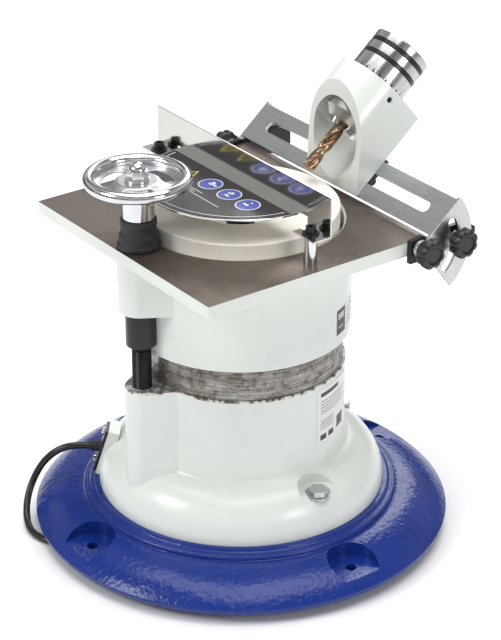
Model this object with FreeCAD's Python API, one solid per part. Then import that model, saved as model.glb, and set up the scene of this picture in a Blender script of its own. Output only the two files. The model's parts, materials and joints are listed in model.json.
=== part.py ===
"""Bench drill bit sharpener: a ring wheel on a vertical motor, a table that rises on a hand screw,
a tilting fence and a sliding chuck that holds the drill over the wheel.

Millimetres. The origin is on the floor, on the wheel's axis. +Z is up, +X runs along the fence,
+Y points from the handwheel to the fence.
"""
import FreeCAD, Part
import math
import os
from FreeCAD import Placement, Rotation, Vector

# ---------------------------------------------------------------- driving dimensions
FIT = 0.05                # radial clearance of a running fit
GAP = 0.4                 # free gap between pieces of different bodies
SLIDE = 0.1               # gap under a sliding face

# base ring and feet
FOOT_HEIGHT = 10.0
FOOT_RADIUS = 13.0
RING_RADIUS = 206.0
LIP_RADIUS = 142.1        # inner face of the ring's lip
LIP_TOP = 46.0
LEDGE_RADIUS = 112.0
LEDGE_TOP = 30.0
LEDGE_THICKNESS = 10.0
RING_WALL = 8.0
RING_WIDEST = 16.0         # height where the ring is widest
RIM_BOTTOM = 8.0
ANCHOR_RADIUS = 178.0     # pitch radius of the four anchor holes
ANCHOR_HOLE = 5.5
ANCHOR_FLOOR = 24.0       # height of the pocket floor round an anchor hole
POCKET_RADIUS = 25.0
POCKET_OFFSET = 3.0        # pocket's centre outside its anchor hole

# lower housing
BELL_RADIUS = 141.8
BELL_EQUATOR = 48.0       # height where the bell is widest
BELL_CROWN = 46.0         # radius of the bell's rounded shoulder
BELL_FILLET = 5.0         # hollow between the shoulder and the drum
DRUM_RADIUS = 102.4
DRUM_TOP = 181.0
GUIDE_RADIUS = 100.0
GUIDE_TOP = 275.0
GUIDE_WALL = 9.0
BELL_WALL = 8.0
BOSS_ROOT = (32.0, -97.0)         # half width and Y where the lower screw boss meets the drum
BOLT_CIRCLE = 126.0
BOLT_SEAT = 78.0
BOLT_SCOOP = (20.0, 4.0)            # radius of the scoop round a bolt, and its floor above the seat
BOLT_RECESS = 12.7        # radius of the seat's recess
BOLT_TOWER = 26.0
BOLT_RADIUS = 5.0         # M10
BOLT_HEAD_ACROSS = 17.0
BOLT_ANGLES = (0.0, 90.0, 180.0)

# power switch on the back of the drum
SWITCH_ANGLE = 150.0
SWITCH_Z = 152.0
SWITCH_FACE = 110.0       # radius of the switch's front
SWITCH_HALF = (17.0, 22.0)        # half width and half height of the box
SWITCH_FLANGE = 6.0
ROCKER_HALF = 9.0
ROCKER_HEIGHT = 26.0

# motor
WEB_Z = 222.0
WEB_THICKNESS = 15.0
MOTOR_RADIUS = 70.0
STATOR_RADIUS = 65.0
STATOR_BORE = 36.0
STATOR_Z = 130.0
STATOR_LENGTH = 60.0
SHIELD_Z = 100.0
SHIELD_THICKNESS = 12.0
TOP_BEARING = (10.0, 26.0)        # bore radius, outer radius
LOW_BEARING = (8.5, 20.0)
SHAFT_CORE = 14.0
MOTOR_SCREW_RADIUS = 2.5
MOTOR_SCREW_CIRCLE = 73.0
CAPACITOR_RADIUS = 13.0
CAPACITOR_HEIGHT = 42.0
FAN_RADIUS = 52.0
FAN_HEIGHT = 10.0
FAN_BLADES = 8

# grinding wheel
WHEEL_RADIUS = 94.8
WHEEL_HOLLOW = 49.0
WHEEL_TOP = 340.4
WHEEL_HEIGHT = 40.4
WHEEL_WEB = 13.0
WHEEL_FLANGE = 58.0
WHEEL_THREAD = 8.0        # radius of the spindle's nose
CLAMP_FLANGE = (32.0, 5.0)        # radius, thickness
WHEEL_NUT = (24.0, 13.0)          # across flats, height

# table
TABLE_HALF_X = 141.7
TABLE_FRONT = -137.8
TABLE_BACK = 112.5
TABLE_TOP = 327.3
TABLE_PLATE = 11.8
TABLE_RIB = 5.0
TABLE_HOLE = 98.8
SKIRT_RADIUS = 106.9
SKIRT_BOTTOM = 215.0
RIB_INSET = 5.0
RIB_WIDTH = 7.0
TOP_BOSS_ROOT = (36.0, -98.0)

# table screw
SCREW_Y = -116.0
SCREW_RADIUS = 9.5
SPINDLE_RADIUS = 10.0
COLLAR_RADIUS = 14.7
COLLAR_BOTTOM = 226.0
TOP_BOSS_RADIUS = 21.5
TOP_BOSS_BOTTOM = 263.0
LOW_BOSS_RADIUS = 17.0
SCREW_BOTTOM = 120.0
BOOT_TOP = 357.0
BOOT_RADIUS = 20.5
HUB_RADIUS = 15.0
HANDWHEEL_Z = 395.0
HANDWHEEL_RADIUS = 51.0
RIM_RADIUS = 5.7
WINDOW_CIRCLE = 28.0
WINDOW_HALF = 6.5
WINDOW_SWEEP = 46.0

# wheel guard
POST_X = 121.7
POST_Y = -9.9
POST_RADIUS = 6.3
POST_HEIGHT = 27.4
GUARD_SHEET = 1.5
GUARD_HALF_X = 138.0
GUARD_TOP = 394.5
COVER_Z = 364.0
COVER_RADIUS = 95.5
TAB_INNER_X = 106.0
TAB_DEPTH = 9.0           # tab in front of the post's axis
GUARD_SCREW_RADIUS = 3.0

# fence and its pivots
PIVOT_Y = 99.0
PIVOT_Z = 321.0
FENCE_TILT = 40.0
FENCE_HALF_X = 150.3
FENCE_SHEET = 3.0
FENCE_FACE = 2.4          # fence face above the pivot axis, square to the fence
FENCE_LOW = 15.4
FENCE_HIGH = 58.0
EAR_RADIUS = 60.5
EAR_SWEEP = 93.0
EAR_SLOT_RADIUS = 40.0
EAR_SLOT_HALF = 4.4
EAR_SLOT_FROM = -82.5
EAR_SLOT_TO = -13.8
SLOT_CENTRE = 37.4
SLOT_WIDTH = 12.0
SLOT_HALF_X = 126.0
STUD_RADIUS = 4.0
BRACKET_SCREW_RADIUS = 2.5
WASHER = (9.0, 1.8)       # radius and thickness of a stud's washer
KNOB_RADIUS = 14.5
KNOB_LENGTH = 16.0
KNOB_LOBES = 8

# drill holder and chuck (along the fence)
HOLDER_RADIUS = 40.0
AXIS_HEIGHT = 38.9        # chuck axis above the pivot axis, square to the fence
HOLDER_END = 112.4
MOUTH_TOP = 88.4
MOUTH_BORE = 33.0
MOUTH_DEPTH = 78.0
CHUCK_RADIUS = 25.0
SLEEVE_RADIUS = 30.25
SLEEVE_END = 159.5
NECK_RADIUS = 20.0
JAW_ANGLE = 14.0
JAW_RADIUS = 5.0
DRILL_RADIUS = 6.2
DRILL_TIP = 5.2
DRILL_END = 130.0
DRILL_POINT_HALF = 59.0
CHUCK_FRONT = 62.0
JAW_FRONT = 58.0
JAW_LENGTH = 26.0
BAND_WIDTH = 5.0
BAND_PLACES = (19.0, 32.5)        # grip bands, above the holder's end
KEY_TEETH = 24
KEY_HALF_X = 38.5
KEY_PLATE = 4.0
KEY_SCREW_X = 34.0
KEY_SCREW_RADIUS = 2.5
LOCK_SCREW_RADIUS = 3.0
LOCK_SCREW_ANGLE = 11.0

# labels
LABEL_FILM = 0.4
RATING_LABEL = (9.5, 42.0)        # from and to angle
RATING_LABEL_Z = (116.5, 175.0)
SKIRT_LABEL = (22.0, 45.0)
SKIRT_LABEL_HEIGHT = 26.0

# mains cord
CORD_RADIUS = 3.5
COIL_CENTRE = (-216.0, 158.0)
COIL_OUTER = 46.5
COIL_INNER = 32.5
COIL_HEIGHT = 20.5
CLAMP_ANGLE = 232.0
CLAMP_Z = 72.0
CLAMP_LEAN = 17.5          # slope of the plate's seat
CLAMP_SEAT = 3.0           # seat's height above the bell
CLAMP_SEAT_RIM = 2.0       # seat's rim round the plate
CLAMP_PLATE = 3.0
CLAMP_HALF = (11.0, 23.0)
CLAMP_SCREW_Z = 17.0
CLAMP_SCREW_DEPTH = 6.0
ENTRY_RADIUS = 7.0
GROMMET = (13.0, 25.0)            # length inside the bell, whole length
PLUG_LENGTH = 38.0
PLUG_RADIUS = 14.0
CORD_ROUTE = [
    (-86.2, -110.4, 72.0), (-98.6, -126.2, 73.8), (-112.0, -142.5, 69.0), (-122.5, -155.5, 54.5),
    (-126.5, -166.5, 35.5), (-121.0, -178.0, 19.5), (-106.0, -189.0, 7.0), (-84.5, -196.5, 3.5),
    (-60.0, -192.5, 3.5), (-40.0, -175.5, 3.5), (-31.0, -145.0, 3.5), (-34.0, -106.0, 3.5),
    (-28.0, -58.0, 3.5), (-38.0, -8.0, 3.5), (-66.0, 36.0, 3.5), (-92.0, 84.0, 3.5),
    (-134.0, 122.0, 3.5), (-164.0, 163.0, 3.5), (-188.0, 187.0, 3.5),
]
TAIL_ROUTE = [(-253.1, 144.5, 16.8), (-241.0, 111.0, 14.0)]


# ---------------------------------------------------------------- helpers
def cylinder(radius, z_low, z_high, x=0.0, y=0.0):
    """Upright cylinder between two heights."""
    return Part.makeCylinder(radius, z_high - z_low, Vector(x, y, z_low))


def tube(outer, inner, z_low, z_high, x=0.0, y=0.0):
    """Upright tube between two heights."""
    return cylinder(outer, z_low, z_high, x, y).cut(cylinder(inner, z_low - 1, z_high + 1, x, y))


def block(x_low, x_high, y_low, y_high, z_low, z_high):
    """Box between two corners."""
    return Part.makeBox(x_high - x_low, y_high - y_low, z_high - z_low, Vector(x_low, y_low, z_low))


def rod(radius, start, end):
    """Cylinder between two points."""
    run = end.sub(start)
    return Part.makeCylinder(radius, run.Length, start, run)


def turned(points, arcs=None):
    """Solid of revolution about Z. arcs maps a segment's number to the point its arc passes."""
    arcs = arcs or {}
    edges = []
    for number, first in enumerate(points):
        last = points[(number + 1) % len(points)]
        a, b = Vector(first[0], 0, first[1]), Vector(last[0], 0, last[1])
        if number in arcs:
            middle = Vector(arcs[number][0], 0, arcs[number][1])
            edges.append(Part.Arc(a, middle, b).toShape())
        else:
            edges.append(Part.LineSegment(a, b).toShape())
    return Part.Face(Part.Wire(edges)).revolve(Vector(0, 0, 0), Vector(0, 0, 1), 360)


def polar(radius, angle, z=0.0):
    """Point at a radius and an angle in degrees."""
    turn = math.radians(angle)
    return Vector(radius * math.cos(turn), radius * math.sin(turn), z)


def hexagon(across, z_low, z_high, x=0.0, y=0.0):
    """Hexagonal prism for nuts and bolt heads."""
    corner = across / math.sqrt(3)
    points = [Vector(x, y, z_low) + polar(corner, 60 * k) for k in range(7)]
    return Part.Face(Part.makePolygon(points)).extrude(Vector(0, 0, z_high - z_low))


def group(shapes):
    """Separate solids that share a node."""
    return Part.makeCompound(list(shapes))


def fused(first, *others):
    """One solid made of touching pieces."""
    return first.fuse(list(others)).removeSplitter()


def round_edges(shape, radius, wanted):
    """Fillet the edges that a test picks."""
    return shape.makeFillet(radius, [edge for edge in shape.Edges if wanted(edge)])


def tilted(shape):
    """Place a shape drawn in the fence's frame: X along it, Y up its slope, Z square to it."""
    moved = shape.copy()
    slope = Placement(Vector(0, PIVOT_Y, PIVOT_Z), Rotation(Vector(1, 0, 0), FENCE_TILT))
    moved.Placement = slope.multiply(shape.Placement)
    return moved


def mirrored(shape):
    """The same piece on the other side of X = 0."""
    return shape.mirror(Vector(0, 0, 0), Vector(1, 0, 0))


def curved_slot(radius, half_width, from_angle, to_angle, z_low, z_high):
    """Slot that follows a circle about Z, with round ends."""
    middle = (from_angle + to_angle) / 2
    points = {
        (edge, angle): polar(radius + edge * half_width, angle, z_low)
        for edge in (-1, 1) for angle in (from_angle, middle, to_angle)
    }
    lead = math.degrees(half_width / radius)
    edges = [
        Part.Arc(points[1, from_angle], points[1, middle], points[1, to_angle]),
        Part.Arc(points[1, to_angle], polar(radius, to_angle + lead, z_low), points[-1, to_angle]),
        Part.Arc(points[-1, to_angle], points[-1, middle], points[-1, from_angle]),
        Part.Arc(points[-1, from_angle], polar(radius, from_angle - lead, z_low), points[1, from_angle]),
    ]
    face = Part.Face(Part.Wire([edge.toShape() for edge in edges]))
    return face.extrude(Vector(0, 0, z_high - z_low))


def boss_outline(radius, root_place, z_low, z_high):
    """Boss round the table screw, flaring back to a root (half width, Y) on the drum."""
    half_root, root_y = root_place
    centre = Vector(0, SCREW_Y, 0)
    root = Vector(half_root, root_y, 0)
    reach = root.sub(centre)
    spread = math.acos(radius / reach.Length)
    touch = math.atan2(reach.y, reach.x) - spread
    side = centre + Vector(radius * math.cos(touch), radius * math.sin(touch), 0)
    other = Vector(-side.x, side.y, 0)
    left = Vector(-half_root, root_y, 0)
    edges = [
        Part.LineSegment(root, side).toShape(),
        Part.Arc(side, Vector(0, SCREW_Y - radius, 0), other).toShape(),
        Part.LineSegment(other, left).toShape(),
        Part.LineSegment(left, root).toShape(),
    ]
    face = Part.Face(Part.Wire(edges))
    face.translate(Vector(0, 0, z_low))
    return face.extrude(Vector(0, 0, z_high - z_low))


# ---------------------------------------------------------------- base ring
def make_base_ring():
    """Cast ring with a lip, a bead, a sloping dome and four anchor pockets."""
    crown_start = (LIP_RADIUS + 16, LIP_TOP - 8)
    widest = (RING_RADIUS, RING_WIDEST)
    rim = (RING_RADIUS - 4.5, RIM_BOTTOM)
    outer = RING_RADIUS - RING_WALL - 4
    body = turned(
        [
            (LEDGE_RADIUS, LEDGE_TOP - LEDGE_THICKNESS), (LEDGE_RADIUS, LEDGE_TOP),
            (LIP_RADIUS, LEDGE_TOP), (LIP_RADIUS, LIP_TOP), (LIP_RADIUS + 4, LIP_TOP),
            (LIP_RADIUS + 9, LIP_TOP - 3.5), (LIP_RADIUS + 13, LIP_TOP - 7.5),
            crown_start, widest, rim, (outer, RIM_BOTTOM), (outer, FOOT_HEIGHT),
            (LIP_RADIUS - 6, FOOT_HEIGHT), (LIP_RADIUS - 6, LEDGE_TOP - LEDGE_THICKNESS),
        ],
        {
            4: (LIP_RADIUS + 6.5, LIP_TOP - 3.2),
            5: (LIP_RADIUS + 11.5, LIP_TOP - 3.8),
            6: (LIP_RADIUS + 14.2, LIP_TOP - 8.2),
            7: (RING_RADIUS - 20, RING_WIDEST + 15),
            8: (RING_RADIUS - 1, RING_WIDEST - 4.6),
        },
    )
    inner = LIP_RADIUS + RING_WALL
    channel = turned([
        (inner, FOOT_HEIGHT - 1), (inner, LIP_TOP - 8 - RING_WALL),
        (outer, FOOT_HEIGHT + 6), (outer, FOOT_HEIGHT - 1),
    ])
    for number in range(4):
        spot = polar(ANCHOR_RADIUS, 90 * number)
        channel = channel.cut(cylinder(POCKET_RADIUS + 7, 0, 60, spot.x, spot.y))
    body = body.cut(channel)
    for number in range(4):
        spot = polar(ANCHOR_RADIUS, 90 * number)
        middle = polar(ANCHOR_RADIUS + POCKET_OFFSET, 90 * number)
        recess = cylinder(POCKET_RADIUS, ANCHOR_FLOOR, 60, middle.x, middle.y)
        body = body.cut([recess, cylinder(ANCHOR_HOLE, 0, 60, spot.x, spot.y)])
    for angle in BOLT_ANGLES:
        spot = polar(BOLT_CIRCLE, angle)
        body = body.cut(cylinder(BOLT_RADIUS, 0, 60, spot.x, spot.y))
    return body


def make_feet():
    """Rubber pads under the ring, with the anchor holes through them."""
    feet = []
    for number in range(4):
        spot = polar(ANCHOR_RADIUS, 90 * number)
        pad = tube(FOOT_RADIUS, ANCHOR_HOLE, 0, FOOT_HEIGHT, spot.x, spot.y)
        feet.append(pad)
    return group(feet)


# ---------------------------------------------------------------- lower housing
def bell_shoulder():
    """Where the drum's hollow and the bell's shoulder meet: hollow's centre height and touch point."""
    centre_r = BELL_RADIUS - BELL_CROWN
    across = DRUM_RADIUS + BELL_FILLET - centre_r
    reach = BELL_CROWN + BELL_FILLET
    rise = math.sqrt(reach ** 2 - across ** 2)
    touch = (centre_r + BELL_CROWN * across / reach, BELL_EQUATOR + BELL_CROWN * rise / reach)
    return BELL_EQUATOR + rise, touch


def make_lower_housing():
    """Bell, drum and machined guide in one casting, with the screw boss and the bearing web."""
    hollow_z, touch = bell_shoulder()
    hollow_centre = DRUM_RADIUS + BELL_FILLET
    lean = math.atan2(touch[1] - hollow_z, touch[0] - hollow_centre)
    middle = (lean - math.pi) / 2
    hollow_mid = (
        hollow_centre + BELL_FILLET * math.cos(middle),
        hollow_z + BELL_FILLET * math.sin(middle),
    )
    crown_turn = math.atan2(touch[1] - BELL_EQUATOR, touch[0] - BELL_RADIUS + BELL_CROWN) / 2
    crown_mid = (
        BELL_RADIUS - BELL_CROWN + BELL_CROWN * math.cos(crown_turn),
        BELL_EQUATOR + BELL_CROWN * math.sin(crown_turn),
    )
    outside = turned(
        [
            (0, LEDGE_TOP), (BELL_RADIUS - 0.8, LEDGE_TOP), (BELL_RADIUS, BELL_EQUATOR), touch,
            (DRUM_RADIUS, hollow_z), (DRUM_RADIUS, DRUM_TOP - 1), (DRUM_RADIUS - 1, DRUM_TOP),
            (GUIDE_RADIUS - FIT, DRUM_TOP), (GUIDE_RADIUS - FIT, GUIDE_TOP - 1),
            (GUIDE_RADIUS - 1, GUIDE_TOP), (0, GUIDE_TOP),
        ],
        {2: crown_mid, 3: hollow_mid},
    )
    bore = GUIDE_RADIUS - GUIDE_WALL
    inside = turned([
        (0, LEDGE_TOP - 1), (BELL_RADIUS - BELL_WALL, LEDGE_TOP - 1),
        (BELL_RADIUS - BELL_WALL, BELL_EQUATOR), (BELL_RADIUS - BELL_WALL - 12, BELL_EQUATOR + 26),
        (bore, hollow_z - BELL_FILLET - 4), (bore, WEB_Z), (0, WEB_Z),
    ])
    above = cylinder(bore, WEB_Z + WEB_THICKNESS, GUIDE_TOP + 1)
    towers = []
    for angle in BOLT_ANGLES:
        spot = polar(BOLT_CIRCLE, angle)
        tower = cylinder(BOLT_TOWER, LEDGE_TOP, DRUM_TOP, spot.x, spot.y)
        towers.append(tower.common(outside).cut(cylinder(bore, 0, DRUM_TOP)))
    screw_boss = boss_outline(LOW_BOSS_RADIUS, BOSS_ROOT, BELL_EQUATOR + 14, DRUM_TOP)
    screw_boss = screw_boss.cut(cylinder(bore, 0, DRUM_TOP + 1))
    body = outside.cut([inside, above]).fuse(towers + [screw_boss, clamp_seat()])
    for angle in BOLT_ANGLES:
        spot = polar(BOLT_CIRCLE, angle)
        scoop, rise = BOLT_SCOOP
        body = body.cut(cylinder(scoop, BOLT_SEAT + rise, BELL_EQUATOR + BELL_CROWN, spot.x, spot.y))
        body = body.cut(cylinder(BOLT_RECESS, BOLT_SEAT, DRUM_TOP, spot.x, spot.y))
        body = body.cut(cylinder(BOLT_RADIUS, 0, BOLT_SEAT + 1, spot.x, spot.y))
    body = body.cut(cylinder(SCREW_RADIUS + FIT, BELL_EQUATOR + 46, DRUM_TOP + 1, 0, SCREW_Y))
    body = body.cut(cylinder(TOP_BEARING[1], WEB_Z - 1, WEB_Z + WEB_THICKNESS + 1))
    body = body.cut([switch_hole(), cord_entry()])
    return body.removeSplitter()


def make_housing_bolts():
    """Hexagon bolts that clamp the bell to the ring's ledge."""
    bolts = []
    for angle in BOLT_ANGLES:
        spot = polar(BOLT_CIRCLE, angle)
        seat = BOLT_SEAT + 2
        head = hexagon(BOLT_HEAD_ACROSS, seat, seat + 6.4, spot.x, spot.y)
        shank = cylinder(BOLT_RADIUS, LEDGE_TOP - LEDGE_THICKNESS, seat, spot.x, spot.y)
        bolts.append(fused(head, shank))
    return group(bolts)


def make_housing_washers():
    """Flat washers under the bolt heads."""
    washers = []
    for angle in BOLT_ANGLES:
        spot = polar(BOLT_CIRCLE, angle)
        washers.append(tube(11, BOLT_RADIUS, BOLT_SEAT, BOLT_SEAT + 2, spot.x, spot.y))
    return group(washers)


def make_bottom_cover():
    """Sheet that closes the ring from below."""
    top = LEDGE_TOP - LEDGE_THICKNESS
    return cylinder(LEDGE_RADIUS + 6, top - 1.5, top)


# ---------------------------------------------------------------- power switch on the back of the drum
def at_switch(shape):
    """Place a shape drawn with X pointing out of the drum."""
    shape.Placement = Placement(Vector(0, 0, SWITCH_Z), Rotation(Vector(0, 0, 1), SWITCH_ANGLE))
    return shape


def switch_hole():
    """Opening in the drum that takes the switch box."""
    half_y, half_z = SWITCH_HALF
    return at_switch(block(DRUM_RADIUS - 22, DRUM_RADIUS + 18, -half_y, half_y, -half_z, half_z))


def make_switch_box():
    """Switch box with a flange that sits on the drum."""
    half_y, half_z = SWITCH_HALF
    body = block(SWITCH_FACE - 24, SWITCH_FACE, -half_y, half_y, -half_z, half_z)
    wide = half_y + SWITCH_FLANGE
    tall = half_z + SWITCH_FLANGE
    flange = block(GUIDE_RADIUS - GUIDE_WALL, SWITCH_FACE, -wide, wide, -tall, tall)
    flange = flange.cut(cylinder(DRUM_RADIUS, -tall - 1, tall + 1))
    across = ROCKER_HALF + GAP
    height = ROCKER_HEIGHT / 2 + 3 * GAP
    pocket = block(SWITCH_FACE - 12, SWITCH_FACE + 1, -across, across, -height, height)
    return at_switch(fused(body, flange).cut(pocket))


def make_rocker():
    """Rocker of the switch, pivoted across its middle."""
    half = ROCKER_HEIGHT / 2
    outline = [(SWITCH_FACE - 7, -half), (SWITCH_FACE - 7, half), (SWITCH_FACE + 1.8, half),
               (SWITCH_FACE - 0.2, 0), (SWITCH_FACE + 1.8, -half), (SWITCH_FACE - 7, -half)]
    wire = Part.makePolygon([Vector(x, -ROCKER_HALF, z) for x, z in outline])
    return at_switch(Part.Face(wire).extrude(Vector(0, 2 * ROCKER_HALF, 0)))


# ---------------------------------------------------------------- motor and wheel spindle
def make_motor_frame():
    """Steel tube that holds the stator under the bearing web."""
    return tube(MOTOR_RADIUS, STATOR_RADIUS, SHIELD_Z + SHIELD_THICKNESS, WEB_Z)


def make_stator():
    """Laminated stator core."""
    return tube(STATOR_RADIUS, STATOR_BORE, STATOR_Z, STATOR_Z + STATOR_LENGTH)


def make_windings():
    """Winding heads above and below the core."""
    top = STATOR_Z + STATOR_LENGTH
    return group([
        round_edges(tube(STATOR_RADIUS - 5, STATOR_BORE + 4, top, top + 18), 4, lambda edge: True),
        round_edges(tube(STATOR_RADIUS - 5, STATOR_BORE + 4, STATOR_Z - 16, STATOR_Z), 4, lambda edge: True),
    ])


def make_end_shield():
    """Lower end shield with its bearing seat."""
    disc = cylinder(MOTOR_RADIUS + 8, SHIELD_Z, SHIELD_Z + SHIELD_THICKNESS)
    hub = cylinder(LOW_BEARING[1] + 6, SHIELD_Z - 5, SHIELD_Z)
    body = fused(disc, hub)
    body = body.cut(cylinder(LOW_BEARING[1], SHIELD_Z, SHIELD_Z + SHIELD_THICKNESS + 1))
    body = body.cut(cylinder(LOW_BEARING[0] + 3, SHIELD_Z - 6, SHIELD_Z + 1))
    top = SHIELD_Z + SHIELD_THICKNESS
    for number in range(4):
        spot = polar(MOTOR_SCREW_CIRCLE, 45 + 90 * number)
        body = body.cut(cylinder(MOTOR_SCREW_RADIUS, SHIELD_Z - 1, top + 1, spot.x, spot.y))
    return body


def make_motor_screws():
    """Long screws from the end shield up to the web."""
    screws = []
    for number in range(4):
        spot = polar(MOTOR_SCREW_CIRCLE, 45 + 90 * number)
        shank = cylinder(MOTOR_SCREW_RADIUS, SHIELD_Z, WEB_Z, spot.x, spot.y)
        head = cylinder(4.3, SHIELD_Z - 5, SHIELD_Z, spot.x, spot.y)
        screws.append(fused(shank, head))
    return group(screws)


def make_bearings():
    """Upper and lower ball bearings as closed rings."""
    upper = tube(TOP_BEARING[1], TOP_BEARING[0] + FIT, WEB_Z, WEB_Z + WEB_THICKNESS)
    lower = tube(LOW_BEARING[1], LOW_BEARING[0] + FIT, SHIELD_Z, SHIELD_Z + SHIELD_THICKNESS)
    return group([upper, lower])


def make_capacitor():
    """Run capacitor standing on the ledge inside the bell, between two bolt towers."""
    spot = polar(LEDGE_RADIUS - 5, 45)
    can = cylinder(CAPACITOR_RADIUS, LEDGE_TOP, LEDGE_TOP + CAPACITOR_HEIGHT, spot.x, spot.y)
    return round_edges(can, 2, lambda edge: True)


def make_shaft():
    """Spindle: lower journal, rotor seat, upper journal and threaded nose."""
    nose = WHEEL_TOP - WHEEL_HEIGHT + WHEEL_WEB
    shoulder = SHIELD_Z + SHIELD_THICKNESS + GAP
    steps = [
        (LOW_BEARING[0], SHIELD_Z - 2 * FAN_HEIGHT, shoulder),
        (SHAFT_CORE, shoulder, WEB_Z - 1),
        (TOP_BEARING[0], WEB_Z - 1, nose),
        (WHEEL_THREAD, nose, nose + CLAMP_FLANGE[1] + WHEEL_NUT[1] + 3),
    ]
    return fused(*[cylinder(*step) for step in steps])


def make_rotor():
    """Squirrel-cage rotor on the spindle."""
    core = tube(STATOR_BORE - GAP, SHAFT_CORE, STATOR_Z, STATOR_Z + STATOR_LENGTH)
    rings = tube(STATOR_BORE - 2, STATOR_BORE - 12, STATOR_Z - 8, STATOR_Z + STATOR_LENGTH + 8)
    return fused(core, rings)


def make_fan():
    """Cooling fan on the spindle's lower end."""
    low = SHIELD_Z - 2 * FAN_HEIGHT + 1
    hub = tube(14, LOW_BEARING[0], low, low + FAN_HEIGHT)
    plate = tube(FAN_RADIUS, 13, low, low + 2)
    blades = []
    for number in range(FAN_BLADES):
        blade = block(13, FAN_RADIUS - 2, -1, 1, low + 1, low + FAN_HEIGHT)
        blade.Placement = Placement(Vector(0, 0, 0), Rotation(Vector(0, 0, 1), 360 / FAN_BLADES * number))
        blades.append(blade)
    return fused(hub, plate, *blades)


def make_backing_flange():
    """Flange that carries the wheel, with a long hub down to the bearing."""
    top = WHEEL_TOP - WHEEL_HEIGHT
    hub = cylinder(17, WEB_Z + WEB_THICKNESS + 2, top - 7)
    disc = cylinder(WHEEL_FLANGE, top - 8, top)
    return fused(hub, disc).cut(cylinder(TOP_BEARING[0], WEB_Z, top + 1))


def make_grinding_wheel():
    """Cup wheel with a broad grinding rim."""
    low = WHEEL_TOP - WHEEL_HEIGHT
    return turned([
        (TOP_BEARING[0], low), (WHEEL_RADIUS, low), (WHEEL_RADIUS, WHEEL_TOP - 1),
        (WHEEL_RADIUS - 1, WHEEL_TOP), (WHEEL_HOLLOW, WHEEL_TOP), (WHEEL_HOLLOW, low + WHEEL_WEB),
        (TOP_BEARING[0], low + WHEEL_WEB),
    ])


def make_clamp_flange():
    """Loose flange under the wheel nut."""
    low = WHEEL_TOP - WHEEL_HEIGHT + WHEEL_WEB
    return tube(CLAMP_FLANGE[0], WHEEL_THREAD, low, low + CLAMP_FLANGE[1])


def make_wheel_nut():
    """Hexagon nut that clamps the wheel."""
    low = WHEEL_TOP - WHEEL_HEIGHT + WHEEL_WEB + CLAMP_FLANGE[1]
    across, height = WHEEL_NUT
    return hexagon(across, low, low + height).cut(cylinder(WHEEL_THREAD, low - 1, low + height + 1))


# ---------------------------------------------------------------- table
def make_table():
    """Ground table with a skirt that slides on the guide, and the screw boss."""
    under = TABLE_TOP - TABLE_PLATE
    plate = block(-TABLE_HALF_X, TABLE_HALF_X, TABLE_FRONT, TABLE_BACK, under, TABLE_TOP)
    rib_outer = block(
        -TABLE_HALF_X + RIB_INSET, TABLE_HALF_X - RIB_INSET,
        TABLE_FRONT + RIB_INSET, TABLE_BACK - RIB_INSET, under - TABLE_RIB, under,
    )
    wall = RIB_INSET + RIB_WIDTH
    rib_inner = block(
        -TABLE_HALF_X + wall, TABLE_HALF_X - wall, TABLE_FRONT + wall, TABLE_BACK - wall,
        under - TABLE_RIB - 1, under,
    )
    skirt = cylinder(SKIRT_RADIUS, SKIRT_BOTTOM, under)
    boss = boss_outline(TOP_BOSS_RADIUS, TOP_BOSS_ROOT, TOP_BOSS_BOTTOM, under)
    body = fused(plate, rib_outer.cut(rib_inner), skirt, boss)
    body = body.cut([
        cylinder(GUIDE_RADIUS, SKIRT_BOTTOM - 1, under - 6),
        cylinder(TABLE_HOLE, SKIRT_BOTTOM, TABLE_TOP + 1),
        Part.makeCone(TABLE_HOLE - 1, TABLE_HOLE + 3, 4, Vector(0, 0, TABLE_TOP - 3)),
        cylinder(SPINDLE_RADIUS + FIT, TOP_BOSS_BOTTOM - 1, TABLE_TOP + 1, 0, SCREW_Y),
        cylinder(COLLAR_RADIUS + GAP, SKIRT_BOTTOM - 1, TOP_BOSS_BOTTOM, 0, SCREW_Y),
    ])
    posts = [cylinder(4, TABLE_TOP - 10, TABLE_TOP + 1, side * POST_X, POST_Y) for side in (-1, 1)]
    return body.cut(posts)


def make_guard_posts():
    """Steel posts screwed into the table, with a shoulder for the guard."""
    top = TABLE_TOP + POST_HEIGHT
    posts = []
    for side in (-1, 1):
        x = side * POST_X
        post = fused(
            cylinder(POST_RADIUS, TABLE_TOP, top, x, POST_Y),
            cylinder(4, TABLE_TOP - 10, TABLE_TOP, x, POST_Y),
        )
        posts.append(post.cut(cylinder(GUARD_SCREW_RADIUS, top - 12, top + 1, x, POST_Y)))
    return group(posts)


def make_guard_sheet():
    """One bent sheet: upright shield, half-round cover and two fixing tabs."""
    tab_z = TABLE_TOP + POST_HEIGHT
    upright = block(-GUARD_HALF_X, GUARD_HALF_X, 0, GUARD_SHEET, tab_z, GUARD_TOP)
    window = TAB_INNER_X - 2
    upright = upright.cut(block(-window, window, -1, GUARD_SHEET + 1, tab_z - 1, COVER_Z))
    disc = cylinder(COVER_RADIUS, COVER_Z, COVER_Z + GUARD_SHEET)
    reach = COVER_RADIUS + 1
    cover = disc.common(block(-reach, reach, -reach, GUARD_SHEET, COVER_Z - 1, COVER_Z + 3))
    tabs = []
    for side in (-1, 1):
        low, high = sorted((side * TAB_INNER_X, side * GUARD_HALF_X))
        tab = block(low, high, POST_Y - TAB_DEPTH, GUARD_SHEET, tab_z, tab_z + GUARD_SHEET)
        tabs.append(tab)
    body = fused(upright, cover, *tabs)
    hole = GUARD_SCREW_RADIUS + 0.1
    return body.cut([cylinder(hole, tab_z - 1, tab_z + 3, side * POST_X, POST_Y) for side in (-1, 1)])


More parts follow.
